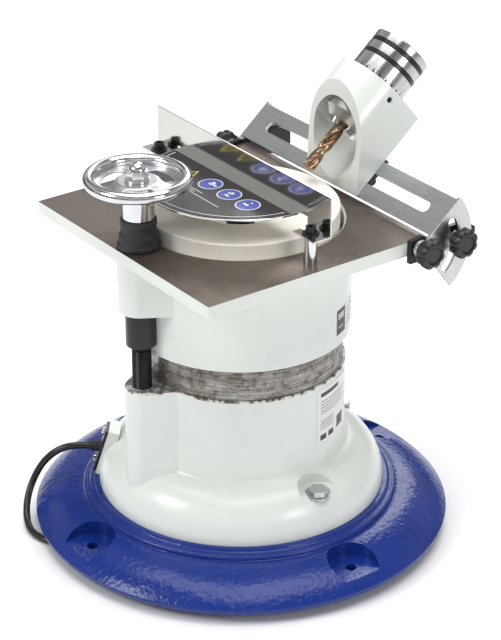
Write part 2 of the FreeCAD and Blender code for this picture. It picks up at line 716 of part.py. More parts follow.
def make_guard_screws():
    """Socket head screws with washers that hold the guard on its posts."""
    low = TABLE_TOP + POST_HEIGHT + GUARD_SHEET
    screws = []
    for side in (-1, 1):
        x = side * POST_X
        washer = cylinder(8, low, low + 1.4, x, POST_Y)
        head = cylinder(5, low + 1.4, low + 7.4, x, POST_Y)
        shank = cylinder(GUARD_SCREW_RADIUS, low - 12, low, x, POST_Y)
        socket = hexagon(5, low + 4, low + 8, x, POST_Y)
        screws.append(fused(washer, head, shank).cut(socket))
    return group(screws)


def make_screw_boot():
    """Stepped rubber boot that seals the screw where it leaves the table."""
    steps = [
        (BOOT_RADIUS, TABLE_TOP, TABLE_TOP + 4), (BOOT_RADIUS - 0.8, TABLE_TOP + 4, TABLE_TOP + 13),
        (BOOT_RADIUS - 2.2, TABLE_TOP + 13, TABLE_TOP + 17),
        (BOOT_RADIUS - 3, TABLE_TOP + 17, BOOT_TOP - 0.6),
    ]
    body = fused(*[cylinder(radius, low, high, 0, SCREW_Y) for radius, low, high in steps])
    return body.cut(cylinder(SPINDLE_RADIUS + 1.5, TABLE_TOP - 1, BOOT_TOP + 1, 0, SCREW_Y))


def make_table_screw():
    """Spindle with its thrust collar and the thread that turns in the lower boss."""
    collar_top = TOP_BOSS_BOTTOM - GAP
    shank = cylinder(SPINDLE_RADIUS, COLLAR_BOTTOM, HANDWHEEL_Z - 6, 0, SCREW_Y)
    collar = cylinder(COLLAR_RADIUS, COLLAR_BOTTOM, collar_top, 0, SCREW_Y)
    chamfer = Part.makeCone(SCREW_RADIUS, COLLAR_RADIUS, 4, Vector(0, SCREW_Y, COLLAR_BOTTOM - 4))
    thread = cylinder(SCREW_RADIUS, SCREW_BOTTOM, COLLAR_BOTTOM, 0, SCREW_Y)
    stud = cylinder(6, HANDWHEEL_Z - 6, HANDWHEEL_Z + 12, 0, SCREW_Y)
    return fused(shank, collar, chamfer, thread, stud)


def make_handwheel():
    """Pressed handwheel: rolled rim, dished web with three windows and a hub sleeve."""
    centre = HANDWHEEL_RADIUS - RIM_RADIUS
    web = turned([
        (6, HANDWHEEL_Z - 6), (19, HANDWHEEL_Z - 6), (30, HANDWHEEL_Z - 8), (centre, HANDWHEEL_Z - 4),
        (centre, HANDWHEEL_Z - 1), (30, HANDWHEEL_Z - 5), (19, HANDWHEEL_Z - 1), (6, HANDWHEEL_Z - 1),
    ])
    half = WINDOW_SWEEP / 2
    windows = [
        curved_slot(WINDOW_CIRCLE, WINDOW_HALF, middle - half, middle + half,
                    HANDWHEEL_Z - 20, HANDWHEEL_Z + 10)
        for middle in (90, 210, 330)
    ]
    rim = Part.makeTorus(centre, RIM_RADIUS, Vector(0, 0, HANDWHEEL_Z))
    sleeve = tube(HUB_RADIUS, SPINDLE_RADIUS, BOOT_TOP, HANDWHEEL_Z - 6)
    body = web.cut(windows).fuse([rim, sleeve]).removeSplitter()
    body.translate(Vector(0, SCREW_Y, 0))
    return body


def make_handwheel_nut():
    """Washer and domed nut on top of the handwheel."""
    low = HANDWHEEL_Z - 1
    washer = tube(11.5, 6, low, low + 2, 0, SCREW_Y)
    nut = hexagon(18, low + 2, low + 10, 0, SCREW_Y).cut(cylinder(6, low, low + 13, 0, SCREW_Y))
    dome = Part.makeSphere(8.6, Vector(0, SCREW_Y, low + 9)).common(
        cylinder(8.6, low + 10, low + 18, 0, SCREW_Y))
    return fused(washer, nut, dome.cut(cylinder(6, low, low + 13, 0, SCREW_Y)))


# ---------------------------------------------------------------- fence, brackets and knobs
def stud_places():
    """Pivot stud and clamp stud, seen along X."""
    return ((PIVOT_Y, PIVOT_Z), (PIVOT_Y + EAR_SLOT_RADIUS, PIVOT_Z))


def bracket_face():
    """X of the bracket's outer face, a gap inside the fence's ear."""
    return FENCE_HALF_X - FENCE_SHEET - GAP


def make_bracket():
    """Arm on the table's side that carries the pivot stud and the clamp stud."""
    outer = bracket_face()
    inner = TABLE_HALF_X
    end = EAR_SLOT_RADIUS + 28
    corners = [
        (-11, 9), (4, 11.5), (FENCE_LOW - 1.4, 5.2), (EAR_SLOT_RADIUS - 12, 12.5),
        (end - 12, 12), (end, 4), (end, -9), (end - 18, -14), (-11, -14), (-11, 9),
    ]
    outline = [Vector(inner, PIVOT_Y + y, PIVOT_Z + z) for y, z in corners]
    body = Part.Face(Part.makePolygon(outline))
    body = body.extrude(Vector(outer - inner, 0, 0))
    for y, z in stud_places():
        body = body.cut(rod(STUD_RADIUS, Vector(inner - 1, y, z), Vector(outer + 1, y, z)))
    for y in bracket_screw_places():
        start = Vector(inner - 1, y, PIVOT_Z - 2 * STUD_RADIUS)
        body = body.cut(rod(BRACKET_SCREW_RADIUS, start, start + Vector(outer - inner + 2, 0, 0)))
    return body


def bracket_screw_places():
    """Y of the two bracket screws, either side of the pivot stud."""
    return (PIVOT_Y - 6, PIVOT_Y + 8)


def make_studs():
    """Pivot and clamp studs on both sides, each with its washer outside the ear."""
    outer = FENCE_HALF_X + GAP
    pieces = []
    for y, z in stud_places():
        stud = rod(STUD_RADIUS, Vector(TABLE_HALF_X, y, z), Vector(outer + KNOB_LENGTH - 2, y, z))
        washer = rod(WASHER[0], Vector(outer, y, z), Vector(outer + WASHER[1], y, z))
        pieces.append(fused(stud, washer))
    return group(pieces + [mirrored(piece) for piece in pieces])


def make_knob(y, z):
    """Lobed clamp knob with a recessed cap."""
    start = FENCE_HALF_X + 2 * GAP + WASHER[1]
    hub = rod(9.5, Vector(start, y, z), Vector(start + 5, y, z))
    head = rod(KNOB_RADIUS, Vector(start + 4, y, z), Vector(start + KNOB_LENGTH, y, z))
    for number in range(KNOB_LOBES):
        turn = 2 * math.pi * (number + 0.5) / KNOB_LOBES
        reach = KNOB_RADIUS + 2.2
        spot = Vector(start - 1, y + reach * math.cos(turn), z + reach * math.sin(turn))
        head = head.cut(rod(4.2, spot, spot + Vector(KNOB_LENGTH + 2, 0, 0)))
    recess = rod(7.5, Vector(start + KNOB_LENGTH - 1.5, y, z), Vector(start + KNOB_LENGTH + 1, y, z))
    bore = rod(STUD_RADIUS + FIT, Vector(start - 1, y, z), Vector(start + KNOB_LENGTH - 3, y, z))
    return fused(hub, head).cut([recess, bore])


def make_bracket_screws():
    """Flush screws that hold the brackets to the table."""
    screws = []
    for y in bracket_screw_places():
        start = Vector(TABLE_HALF_X, y, PIVOT_Z - 2 * STUD_RADIUS)
        screws.append(rod(BRACKET_SCREW_RADIUS, start, start + Vector(bracket_face() - TABLE_HALF_X, 0, 0)))
    return group(screws + [mirrored(screw) for screw in screws])


def make_fence():
    """Slotted fence with a quarter-round ear at each end, bent from one plate."""
    low_h = FENCE_FACE - FENCE_SHEET
    plate = block(-FENCE_HALF_X, FENCE_HALF_X, FENCE_LOW, FENCE_HIGH, low_h, FENCE_FACE)
    half = SLOT_WIDTH / 2
    reach = SLOT_HALF_X - half
    slot = fused(
        block(-reach, reach, SLOT_CENTRE - half, SLOT_CENTRE + half, -9, 9),
        cylinder(half, -9, 9, -reach, SLOT_CENTRE), cylinder(half, -9, 9, reach, SLOT_CENTRE),
    )
    ears = []
    inner = FENCE_HALF_X - FENCE_SHEET
    axis = Vector(1, 0, 0)
    for side in (-1, 1):
        x = inner if side > 0 else -FENCE_HALF_X
        base = Vector(x, 0, 0)
        sector = Part.makeCylinder(EAR_RADIUS, FENCE_SHEET, base, axis)
        front = block(x - 1, x + FENCE_SHEET + 1, -80, 80, FENCE_FACE, 80)
        back = block(x - 1, x + FENCE_SHEET + 1, -160, 0, -160, 160)
        back.rotate(Vector(0, 0, 0), axis, 90 - EAR_SWEEP)
        hub = Part.makeCylinder(9, FENCE_SHEET, base, axis)
        ear = sector.cut([front, back]).fuse(hub)
        ear = ear.cut(Part.makeCylinder(STUD_RADIUS + FIT, FENCE_SHEET + 2, base - axis, axis))
        ears.append(ear.cut(ear_slot(x)))
    return tilted(plate.cut(slot).fuse(ears).removeSplitter())


def ear_slot(x):
    """Curved slot in an ear for the clamp stud."""
    slot = curved_slot(EAR_SLOT_RADIUS, EAR_SLOT_HALF, EAR_SLOT_FROM, EAR_SLOT_TO, -1, FENCE_SHEET + 1)
    slot.Placement = Placement(Vector(x, 0, 0), Rotation(Vector(1, 1, 1), 120))
    return slot


# ---------------------------------------------------------------- drill holder and chuck
def along(radius, low, high, x=0.0, h=AXIS_HEIGHT):
    """Cylinder along the fence's slope, between two places on it."""
    return Part.makeCylinder(radius, high - low, Vector(x, low, h), Vector(0, 1, 0))


def make_holder():
    """Painted casting with a flat base, a round back, a scooped mouth and the chuck's bore."""
    foot = FENCE_FACE + SLIDE
    base = block(-HOLDER_RADIUS, HOLDER_RADIUS, FENCE_LOW, HOLDER_END, foot, AXIS_HEIGHT)
    top = AXIS_HEIGHT + HOLDER_RADIUS
    above = block(-HOLDER_RADIUS, HOLDER_RADIUS, FENCE_LOW, HOLDER_END, foot, top + 1)
    body = fused(along(HOLDER_RADIUS, FENCE_LOW, HOLDER_END), base).common(above)
    wedge = Part.Face(Part.makePolygon([
        Vector(-60, FENCE_LOW - 60, FENCE_FACE), Vector(-60, FENCE_LOW, FENCE_FACE),
        Vector(-60, MOUTH_TOP, top), Vector(-60, MOUTH_TOP + 10, top + 10),
        Vector(-60, FENCE_LOW - 60, top + 10), Vector(-60, FENCE_LOW - 60, FENCE_FACE),
    ])).extrude(Vector(120, 0, 0))
    funnel_start = Vector(0, MOUTH_DEPTH - 16, AXIS_HEIGHT)
    funnel = Part.makeCone(MOUTH_BORE, CHUCK_RADIUS + 3, 16, funnel_start, Vector(0, 1, 0))
    body = body.cut([
        wedge, along(MOUTH_BORE, 0, MOUTH_DEPTH - 16), funnel,
        along(CHUCK_RADIUS + FIT, MOUTH_DEPTH - 17, HOLDER_END + 1),
        rod(LOCK_SCREW_RADIUS, Vector(0, HOLDER_END - 10, AXIS_HEIGHT), lock_screw_end(HOLDER_RADIUS + 5)),
    ])
    for place in (-KEY_SCREW_X, KEY_SCREW_X):
        low = Vector(place, SLOT_CENTRE, FENCE_FACE - 1)
        body = body.cut(rod(KEY_SCREW_RADIUS, low, low + Vector(0, 0, 9)))
    return tilted(body)


def lock_screw_end(radius):
    """Point on the lock screw's axis at a radius from the chuck's axis."""
    turn = math.radians(LOCK_SCREW_ANGLE)
    return Vector(radius * math.cos(turn), HOLDER_END - 10, AXIS_HEIGHT + radius * math.sin(turn))


def make_lock_screw():
    """Set screw that locks the chuck, sunk below the holder's surface."""
    inner = lock_screw_end(CHUCK_RADIUS + 2 * GAP)
    return tilted(rod(LOCK_SCREW_RADIUS, inner, lock_screw_end(HOLDER_RADIUS - 3)))


def make_slide_key():
    """Black key in the fence's slot, with a keeper plate behind the fence and over its top edge."""
    half = SLOT_WIDTH / 2 - GAP
    back = FENCE_FACE - FENCE_SHEET - GAP
    face = FENCE_FACE + SLIDE
    edge = FENCE_HIGH + KEY_PLATE
    key = block(-KEY_HALF_X, KEY_HALF_X, SLOT_CENTRE - half, SLOT_CENTRE + half, back, face)
    keeper = block(-KEY_HALF_X, KEY_HALF_X, FENCE_LOW + 8, edge, back - KEY_PLATE, back)
    hook = block(-KEY_HALF_X, KEY_HALF_X, FENCE_HIGH + GAP, edge, back, face)
    body = fused(key, keeper, hook)
    for place in (-KEY_SCREW_X, KEY_SCREW_X):
        low = Vector(place, SLOT_CENTRE, back - KEY_PLATE - 1)
        high = Vector(place, SLOT_CENTRE, face + 1)
        body = body.cut(rod(KEY_SCREW_RADIUS, low, high))
    return tilted(body)


def make_key_screws():
    """Screws through the keeper and the key into the holder."""
    back = FENCE_FACE - FENCE_SHEET - GAP - KEY_PLATE
    screws = []
    for place in (-KEY_SCREW_X, KEY_SCREW_X):
        seat = Vector(place, SLOT_CENTRE, back)
        shank = rod(KEY_SCREW_RADIUS, seat, Vector(place, SLOT_CENTRE, FENCE_FACE + 8))
        head = rod(4.5, seat - Vector(0, 0, 3), seat)
        screws.append(tilted(fused(shank, head)))
    return group(screws)


def jaw_axis(number):
    """Start and direction of a jaw's channel."""
    slope = math.radians(JAW_ANGLE)
    turn = math.radians(90 + 120 * number)
    radius = DRILL_RADIUS + GAP + 2.4
    out = Vector(math.cos(turn), 0, math.sin(turn))
    start = Vector(0, JAW_FRONT, AXIS_HEIGHT) + out * radius
    direction = Vector(0, math.cos(slope), 0) + out * math.sin(slope)
    return start, direction


def make_chuck_body():
    """Chuck body with a nose, the jaw channels, a neck for the sleeve and the drill's bore."""
    nose = Part.makeCone(17, CHUCK_RADIUS, 8, Vector(0, CHUCK_FRONT, AXIS_HEIGHT), Vector(0, 1, 0))
    barrel = along(CHUCK_RADIUS, CHUCK_FRONT + 8, HOLDER_END)
    body = fused(nose, barrel, along(NECK_RADIUS, HOLDER_END, SLEEVE_END - 4))
    body = body.cut(along(DRILL_RADIUS, 0, DRILL_END))
    for number in range(3):
        start, direction = jaw_axis(number)
        end = start + direction * (JAW_LENGTH + 9)
        body = body.cut(rod(JAW_RADIUS + GAP, start - direction * 8, end))
    return tilted(body)


def make_jaw(number):
    """Round jaw ground flat where it grips the drill."""
    start, direction = jaw_axis(number)
    jaw = rod(JAW_RADIUS, start, start + direction * JAW_LENGTH)
    drill_side = along(DRILL_RADIUS + GAP, 0, DRILL_END)
    return tilted(jaw.cut(drill_side))


def make_chuck_sleeve():
    """Knurled sleeve with key teeth at its lower edge and two grooves for the grip bands."""
    low = HOLDER_END + GAP
    body = along(SLEEVE_RADIUS, low, SLEEVE_END - 2)
    body = round_edges(body, 1.2, lambda edge: edge.BoundBox.YMin > SLEEVE_END - 3)
    body = body.cut(along(NECK_RADIUS + FIT, low - 1, SLEEVE_END))
    for place in BAND_PLACES:
        body = body.cut(grip_band(HOLDER_END + place, SLEEVE_RADIUS + 1, 1))
    for number in range(KEY_TEETH):
        turn = 360.0 / KEY_TEETH * number
        notch = Part.Face(Part.makePolygon([
            Vector(SLEEVE_RADIUS + 1, low - 1, -2.2), Vector(SLEEVE_RADIUS + 1, low - 1, 2.2),
            Vector(SLEEVE_RADIUS + 1, low + 6, 0), Vector(SLEEVE_RADIUS + 1, low - 1, -2.2),
        ])).extrude(Vector(-4, 0, 0))
        notch.rotate(Vector(0, 0, 0), Vector(0, 1, 0), turn)
        notch.translate(Vector(0, 0, AXIS_HEIGHT))
        body = body.cut(notch)
    return tilted(body)


def grip_band(low, outer, spare):
    """Ring round the sleeve for a grip band, spare wider on its inside than the groove's floor."""
    floor = SLEEVE_RADIUS - 1.2
    return along(outer, low, low + BAND_WIDTH).cut(along(floor, low - spare, low + BAND_WIDTH + spare))


def make_grip_bands():
    """Blackened bands in the sleeve's grooves."""
    return tilted(group([grip_band(HOLDER_END + place, SLEEVE_RADIUS - 0.4, 1) for place in BAND_PLACES]))


def make_chuck_cap():
    """End disc and centre screw that keep the sleeve on the neck."""
    low = SLEEVE_END - 4
    disc = along(NECK_RADIUS, low, SLEEVE_END)
    screw = along(4.5, SLEEVE_END, SLEEVE_END + 5)
    return tilted(fused(disc, screw))


def make_drill():
    """Twist drill as a plain rod with its conical point."""
    point = DRILL_RADIUS / math.tan(math.radians(DRILL_POINT_HALF))
    body = along(DRILL_RADIUS, DRILL_TIP + point, DRILL_END)
    cone = Part.makeCone(0, DRILL_RADIUS, point, Vector(0, DRILL_TIP, AXIS_HEIGHT), Vector(0, 1, 0))
    return tilted(fused(body, cone))


# ---------------------------------------------------------------- labels
def wrapped_label(radius, angles, z_low, z_high):
    """Thin label wrapped on a round wall, between two angles and two heights."""
    from_angle, to_angle = angles
    ring = tube(radius + LABEL_FILM, radius, z_low, z_high)
    points = [Vector(0, 0, 0)]
    for number in range(5):
        points.append(polar(radius * 2, from_angle + (to_angle - from_angle) * number / 4))
    wedge = Part.Face(Part.makePolygon(points + [points[0]])).extrude(Vector(0, 0, z_high + 1))
    return ring.common(wedge)


def make_guard_label():
    """Printed label on the guard's cover."""
    low = COVER_Z + GUARD_SHEET
    reach = COVER_RADIUS - 2.5
    disc = cylinder(reach, low, low + LABEL_FILM)
    return disc.common(block(-reach, reach, -reach, -11, low - 1, low + 3))


# ---------------------------------------------------------------- mains cord
def cord_tube(route, name):
    """Round tube along straight runs joined by tangent arcs."""
    points = [Vector(*point) for point in route]
    edges = []
    here = points[0]
    radii = []
    for before, corner, after in zip(points, points[1:], points[2:]):
        back, ahead = before.sub(corner), after.sub(corner)
        shorter = min(back.Length, ahead.Length)
        turn = math.pi - back.getAngle(ahead)
        radius = 0.45 * shorter / math.tan(turn / 2)
        radii.append(radius)
        trim = 0.45 * shorter
        start = corner + back.normalize() * trim
        end = corner + ahead.normalize() * trim
        bisector = (back + ahead).normalize()
        reach = radius / math.cos(turn / 2)
        middle = corner + bisector * (reach - radius)
        edges.append(Part.LineSegment(here, start).toShape())
        edges.append(Part.Arc(start, middle, end).toShape())
        here = end
    edges.append(Part.LineSegment(here, points[-1]).toShape())
    path = Part.Wire(edges)
    first = points[1].sub(points[0])
    profile = Part.Wire(Part.makeCircle(CORD_RADIUS, points[0], first))
    solid = path.makePipeShell([profile], True, False)
    section = math.pi * CORD_RADIUS ** 2
    print(name, "length %.1f" % path.Length, "radii", [round(radius) for radius in radii],
          "volume ratio %.4f" % (solid.Volume / (section * path.Length)))
    return solid


def make_coil():
    """Outer shape of the put-away coil."""
    return tube(COIL_OUTER, COIL_INNER, 0, COIL_HEIGHT, *COIL_CENTRE)


def make_plug():
    """Two-pin mains plug lying beside the coil."""
    start = Vector(*TAIL_ROUTE[-1])
    flat = Vector(TAIL_ROUTE[-1][0] - TAIL_ROUTE[0][0], TAIL_ROUTE[-1][1] - TAIL_ROUTE[0][1], 0).normalize()
    side = Vector(-flat.y, flat.x, 0)
    neck = Part.makeCone(5.5, 9, 12, start, flat)
    head = Part.makeCylinder(PLUG_RADIUS, PLUG_LENGTH - 12, start + flat * 12, flat)
    pieces = [head]
    for offset in (-9.5, 9.5):
        foot = start + flat * PLUG_LENGTH + side * offset
        pieces.append(Part.makeCylinder(2.4, 19, foot, flat))
    return fused(neck, *pieces)


def clamp_frame():
    """Point on the bell where the cord leaves, and the directions out, down the slope and across."""
    reach = BELL_RADIUS - BELL_CROWN + math.sqrt(BELL_CROWN ** 2 - (CLAMP_Z - BELL_EQUATOR) ** 2)
    spot = polar(reach + CLAMP_SEAT, CLAMP_ANGLE, CLAMP_Z)
    turn = Rotation(Vector(0, 0, 1), CLAMP_ANGLE).multiply(Rotation(Vector(0, 1, 0), -CLAMP_LEAN))
    return spot, turn


def clamp_seat():
    """Flat seat on the bell for the cord clamp."""
    spot, turn = clamp_frame()
    half_y, half_z = (half + CLAMP_SEAT_RIM for half in CLAMP_HALF)
    seat = block(-BELL_WALL - CLAMP_SEAT, 0, -half_y, half_y, -half_z, half_z)
    seat.Placement = Placement(spot, turn)
    return seat


def cord_entry():
    """Holes in the bell for the cord's grommet and the two clamp screws."""
    start = Vector(*CORD_ROUTE[0])
    run = Vector(*CORD_ROUTE[1]).sub(start).normalize()
    holes = [Part.makeCylinder(ENTRY_RADIUS, 3 * BELL_WALL, start - run * 2 * BELL_WALL, run)]
    spot, turn = clamp_frame()
    for z in (-CLAMP_SCREW_Z, CLAMP_SCREW_Z):
        hole = rod(2, Vector(-CLAMP_SCREW_DEPTH, 0, z), Vector(CLAMP_PLATE, 0, z))
        hole.Placement = Placement(spot, turn)
        holes.append(hole)
    return group(holes)


def make_cord_clamp():
    """Plate on the bell that holds the cord's grommet."""
    spot, turn = clamp_frame()
    half_y, half_z = CLAMP_HALF
    plate = block(0, CLAMP_PLATE, -half_y, half_y, -half_z, half_z)
    holes = [rod(2, Vector(-1, 0, z), Vector(9, 0, z)) for z in (-CLAMP_SCREW_Z, CLAMP_SCREW_Z)]
    plate = plate.cut(holes + [rod(ENTRY_RADIUS, Vector(-1, 0, 0), Vector(9, 0, 0))])
    plate.Placement = Placement(spot, turn)
    return plate


def make_clamp_screws():
    """Two bright pan head screws in the clamp plate."""
    spot, turn = clamp_frame()
    screws = []
    for z in (-CLAMP_SCREW_Z, CLAMP_SCREW_Z):
        head = rod(4, Vector(CLAMP_PLATE, 0, z), Vector(CLAMP_PLATE + 2.4, 0, z))
        shank = rod(2, Vector(-CLAMP_SCREW_DEPTH, 0, z), Vector(CLAMP_PLATE, 0, z))
        screw = fused(head, shank)
        screw.Placement = Placement(spot, turn)
        screws.append(screw)
    return group(screws)


def make_grommet():
    """Tapered rubber strain relief where the cord comes out."""
    start = Vector(*CORD_ROUTE[0])
    run = Vector(*CORD_ROUTE[1]).sub(start).normalize()
    root = start - run * GROMMET[0]
    body = Part.makeCone(ENTRY_RADIUS - 0.6, CORD_RADIUS + 1.6, GROMMET[1], root, run)
    return body.cut(Part.makeCylinder(CORD_RADIUS, GROMMET[1], start, run))


# ---------------------------------------------------------------- build
def main():
    """Build every node and write it to parts/."""
    right_knobs = [make_knob(y, z) for y, z in stud_places()]
    nodes = {
        "base_ring": make_base_ring(),
        "rubber_feet": make_feet(),
        "lower_housing": make_lower_housing(),
        "housing_bolts": make_housing_bolts(),
        "housing_washers": make_housing_washers(),
        "bottom_cover": make_bottom_cover(),
        "switch_box": make_switch_box(),
        "switch_rocker": make_rocker(),
        "motor_frame": make_motor_frame(),
        "motor_stator": make_stator(),
        "motor_windings": make_windings(),
        "motor_end_shield": make_end_shield(),
        "motor_screws": make_motor_screws(),
        "ball_bearings": make_bearings(),
        "run_capacitor": make_capacitor(),
        "wheel_spindle": make_shaft(),
        "motor_rotor": make_rotor(),
        "cooling_fan": make_fan(),
        "backing_flange": make_backing_flange(),
        "grinding_wheel": make_grinding_wheel(),
        "clamp_flange": make_clamp_flange(),
        "wheel_nut": make_wheel_nut(),
        "table_casting": make_table(),
        "guard_posts": make_guard_posts(),
        "guard_sheet": make_guard_sheet(),
        "guard_screws": make_guard_screws(),
        "guard_label": make_guard_label(),
        "screw_boot": make_screw_boot(),
        "table_screw": make_table_screw(),
        "handwheel": make_handwheel(),
        "handwheel_nut": make_handwheel_nut(),
        "bracket_right": make_bracket(),
        "bracket_left": mirrored(make_bracket()),
        "bracket_screws": make_bracket_screws(),
        "clamp_studs": make_studs(),
        "pivot_knob_right": right_knobs[0],
        "clamp_knob_right": right_knobs[1],
        "pivot_knob_left": mirrored(right_knobs[0]),
        "clamp_knob_left": mirrored(right_knobs[1]),
        "fence_plate": make_fence(),
        "drill_holder": make_holder(),
        "lock_screw": make_lock_screw(),
        "slide_key": make_slide_key(),
        "key_screws": make_key_screws(),
        "chuck_body": make_chuck_body(),
        "chuck_sleeve": make_chuck_sleeve(),
        "grip_bands": make_grip_bands(),
        "chuck_cap": make_chuck_cap(),
        "chuck_jaw_1": make_jaw(0),
        "chuck_jaw_2": make_jaw(1),
        "chuck_jaw_3": make_jaw(2),
        "twist_drill": make_drill(),
        "rating_label": wrapped_label(DRUM_RADIUS, RATING_LABEL, *RATING_LABEL_Z),
        "skirt_label": wrapped_label(
            SKIRT_RADIUS, SKIRT_LABEL, SKIRT_BOTTOM + 12, SKIRT_BOTTOM + 12 + SKIRT_LABEL_HEIGHT),
        "cord_clamp": make_cord_clamp(),
        "clamp_screws": make_clamp_screws(),
        "cord_grommet": make_grommet(),
        "mains_cord": cord_tube(CORD_ROUTE, "mains_cord").fuse(cord_tube(TAIL_ROUTE, "tail")),
        "cord_coil": make_coil(),
        "mains_plug": make_plug(),
    }
    os.makedirs("parts", exist_ok=True)
    for name, shape in nodes.items():
        solids = shape.Solids
        if not shape.isValid() or not solids:
            print("NOT VALID", name)
        shape.exportStep("parts/%s.step" % name)
    print(len(nodes), "nodes")


main()
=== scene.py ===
"""Looks of a bench drill bit sharpener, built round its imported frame.

Metres, in the frame's own axes: +Z up along the wheel, +X along the fence and +Y from the handwheel to the
fence. Pieces that the frame shapes well keep their solids and get a finish and softened edges; the others are
built here in their place.
"""
import json
import logging
import math
from dataclasses import dataclass
from enum import Enum
from typing import Any, Callable, Iterable, Optional, Sequence, Union

import bpy
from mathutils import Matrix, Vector


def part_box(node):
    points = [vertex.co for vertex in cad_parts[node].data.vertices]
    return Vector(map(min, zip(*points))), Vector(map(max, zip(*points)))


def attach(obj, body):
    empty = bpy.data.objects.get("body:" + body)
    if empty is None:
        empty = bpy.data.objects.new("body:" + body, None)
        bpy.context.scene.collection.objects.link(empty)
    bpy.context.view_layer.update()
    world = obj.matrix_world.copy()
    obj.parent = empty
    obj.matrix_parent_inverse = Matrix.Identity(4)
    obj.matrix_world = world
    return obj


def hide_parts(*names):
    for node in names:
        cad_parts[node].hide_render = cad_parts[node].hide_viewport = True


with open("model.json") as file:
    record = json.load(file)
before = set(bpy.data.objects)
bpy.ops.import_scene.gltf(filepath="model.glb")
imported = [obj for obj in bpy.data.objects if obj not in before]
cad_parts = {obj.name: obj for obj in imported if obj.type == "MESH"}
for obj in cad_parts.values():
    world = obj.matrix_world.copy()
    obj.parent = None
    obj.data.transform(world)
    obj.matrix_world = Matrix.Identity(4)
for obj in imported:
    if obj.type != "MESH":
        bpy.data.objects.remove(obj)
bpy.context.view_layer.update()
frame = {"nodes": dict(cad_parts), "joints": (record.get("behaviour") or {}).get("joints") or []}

LOG = logging.getLogger("sharpener")
MM = 0.001
WELD_GAP = 1e-6      # points closer than this are one
SHARP_FROM = 38.0    # degrees between faces from which an edge is rounded
Colour = tuple[float, float, float]
Outline = list[tuple[float, float]]
Radius = Union[float, Callable[[float], float]]


class Slot(Enum):
    """Material slots of the record, one named for each new piece."""

    CHROME = "chrome"
    BLACK = "blackened_steel"
    RUBBER = "black_rubber"
    PLASTIC = "black_plastic"
    BRONZE = "bronze_steel"
    FILM = "label_film"
    CORD = "cord_pvc"


# ---------------------------------------------------------------- shader building
class Value:
    """A number that varies over a surface: a socket that takes arithmetic."""

    def __init__(self, shader: "Shader", socket: bpy.types.NodeSocket) -> None:
        """Wrap a socket of a shader's tree."""
        self.shader = shader
        self.socket = socket

    def __add__(self, other: Any) -> "Value":
        """Sum."""
        return self.shader.maths("ADD", self, other)

    def __sub__(self, other: Any) -> "Value":
        """Difference."""
        return self.shader.maths("SUBTRACT", self, other)

    def __mul__(self, other: Any) -> "Value":
        """Product."""
        return self.shader.maths("MULTIPLY", self, other)

    def __rsub__(self, other: Any) -> "Value":
        """Difference the other way round."""
        return self.shader.maths("SUBTRACT", other, self)

    __radd__ = __add__
    __rmul__ = __mul__

    def band(self, low: float, high: float) -> "Value":
        """Smooth rise from 0 at low to 1 at high.

        Args:
            low: Value that gives 0.
            high: Value that gives 1; it may be below low for a fall.

        Returns:
            The share, kept from 0 to 1.
        """
        made = self.shader.node(
            "ShaderNodeMapRange", {"interpolation_type": "SMOOTHSTEP"},
            {"Value": self, "From Min": low, "From Max": high},
        )
        return Value(self.shader, made.outputs[0])


Number = Union[float, Value]


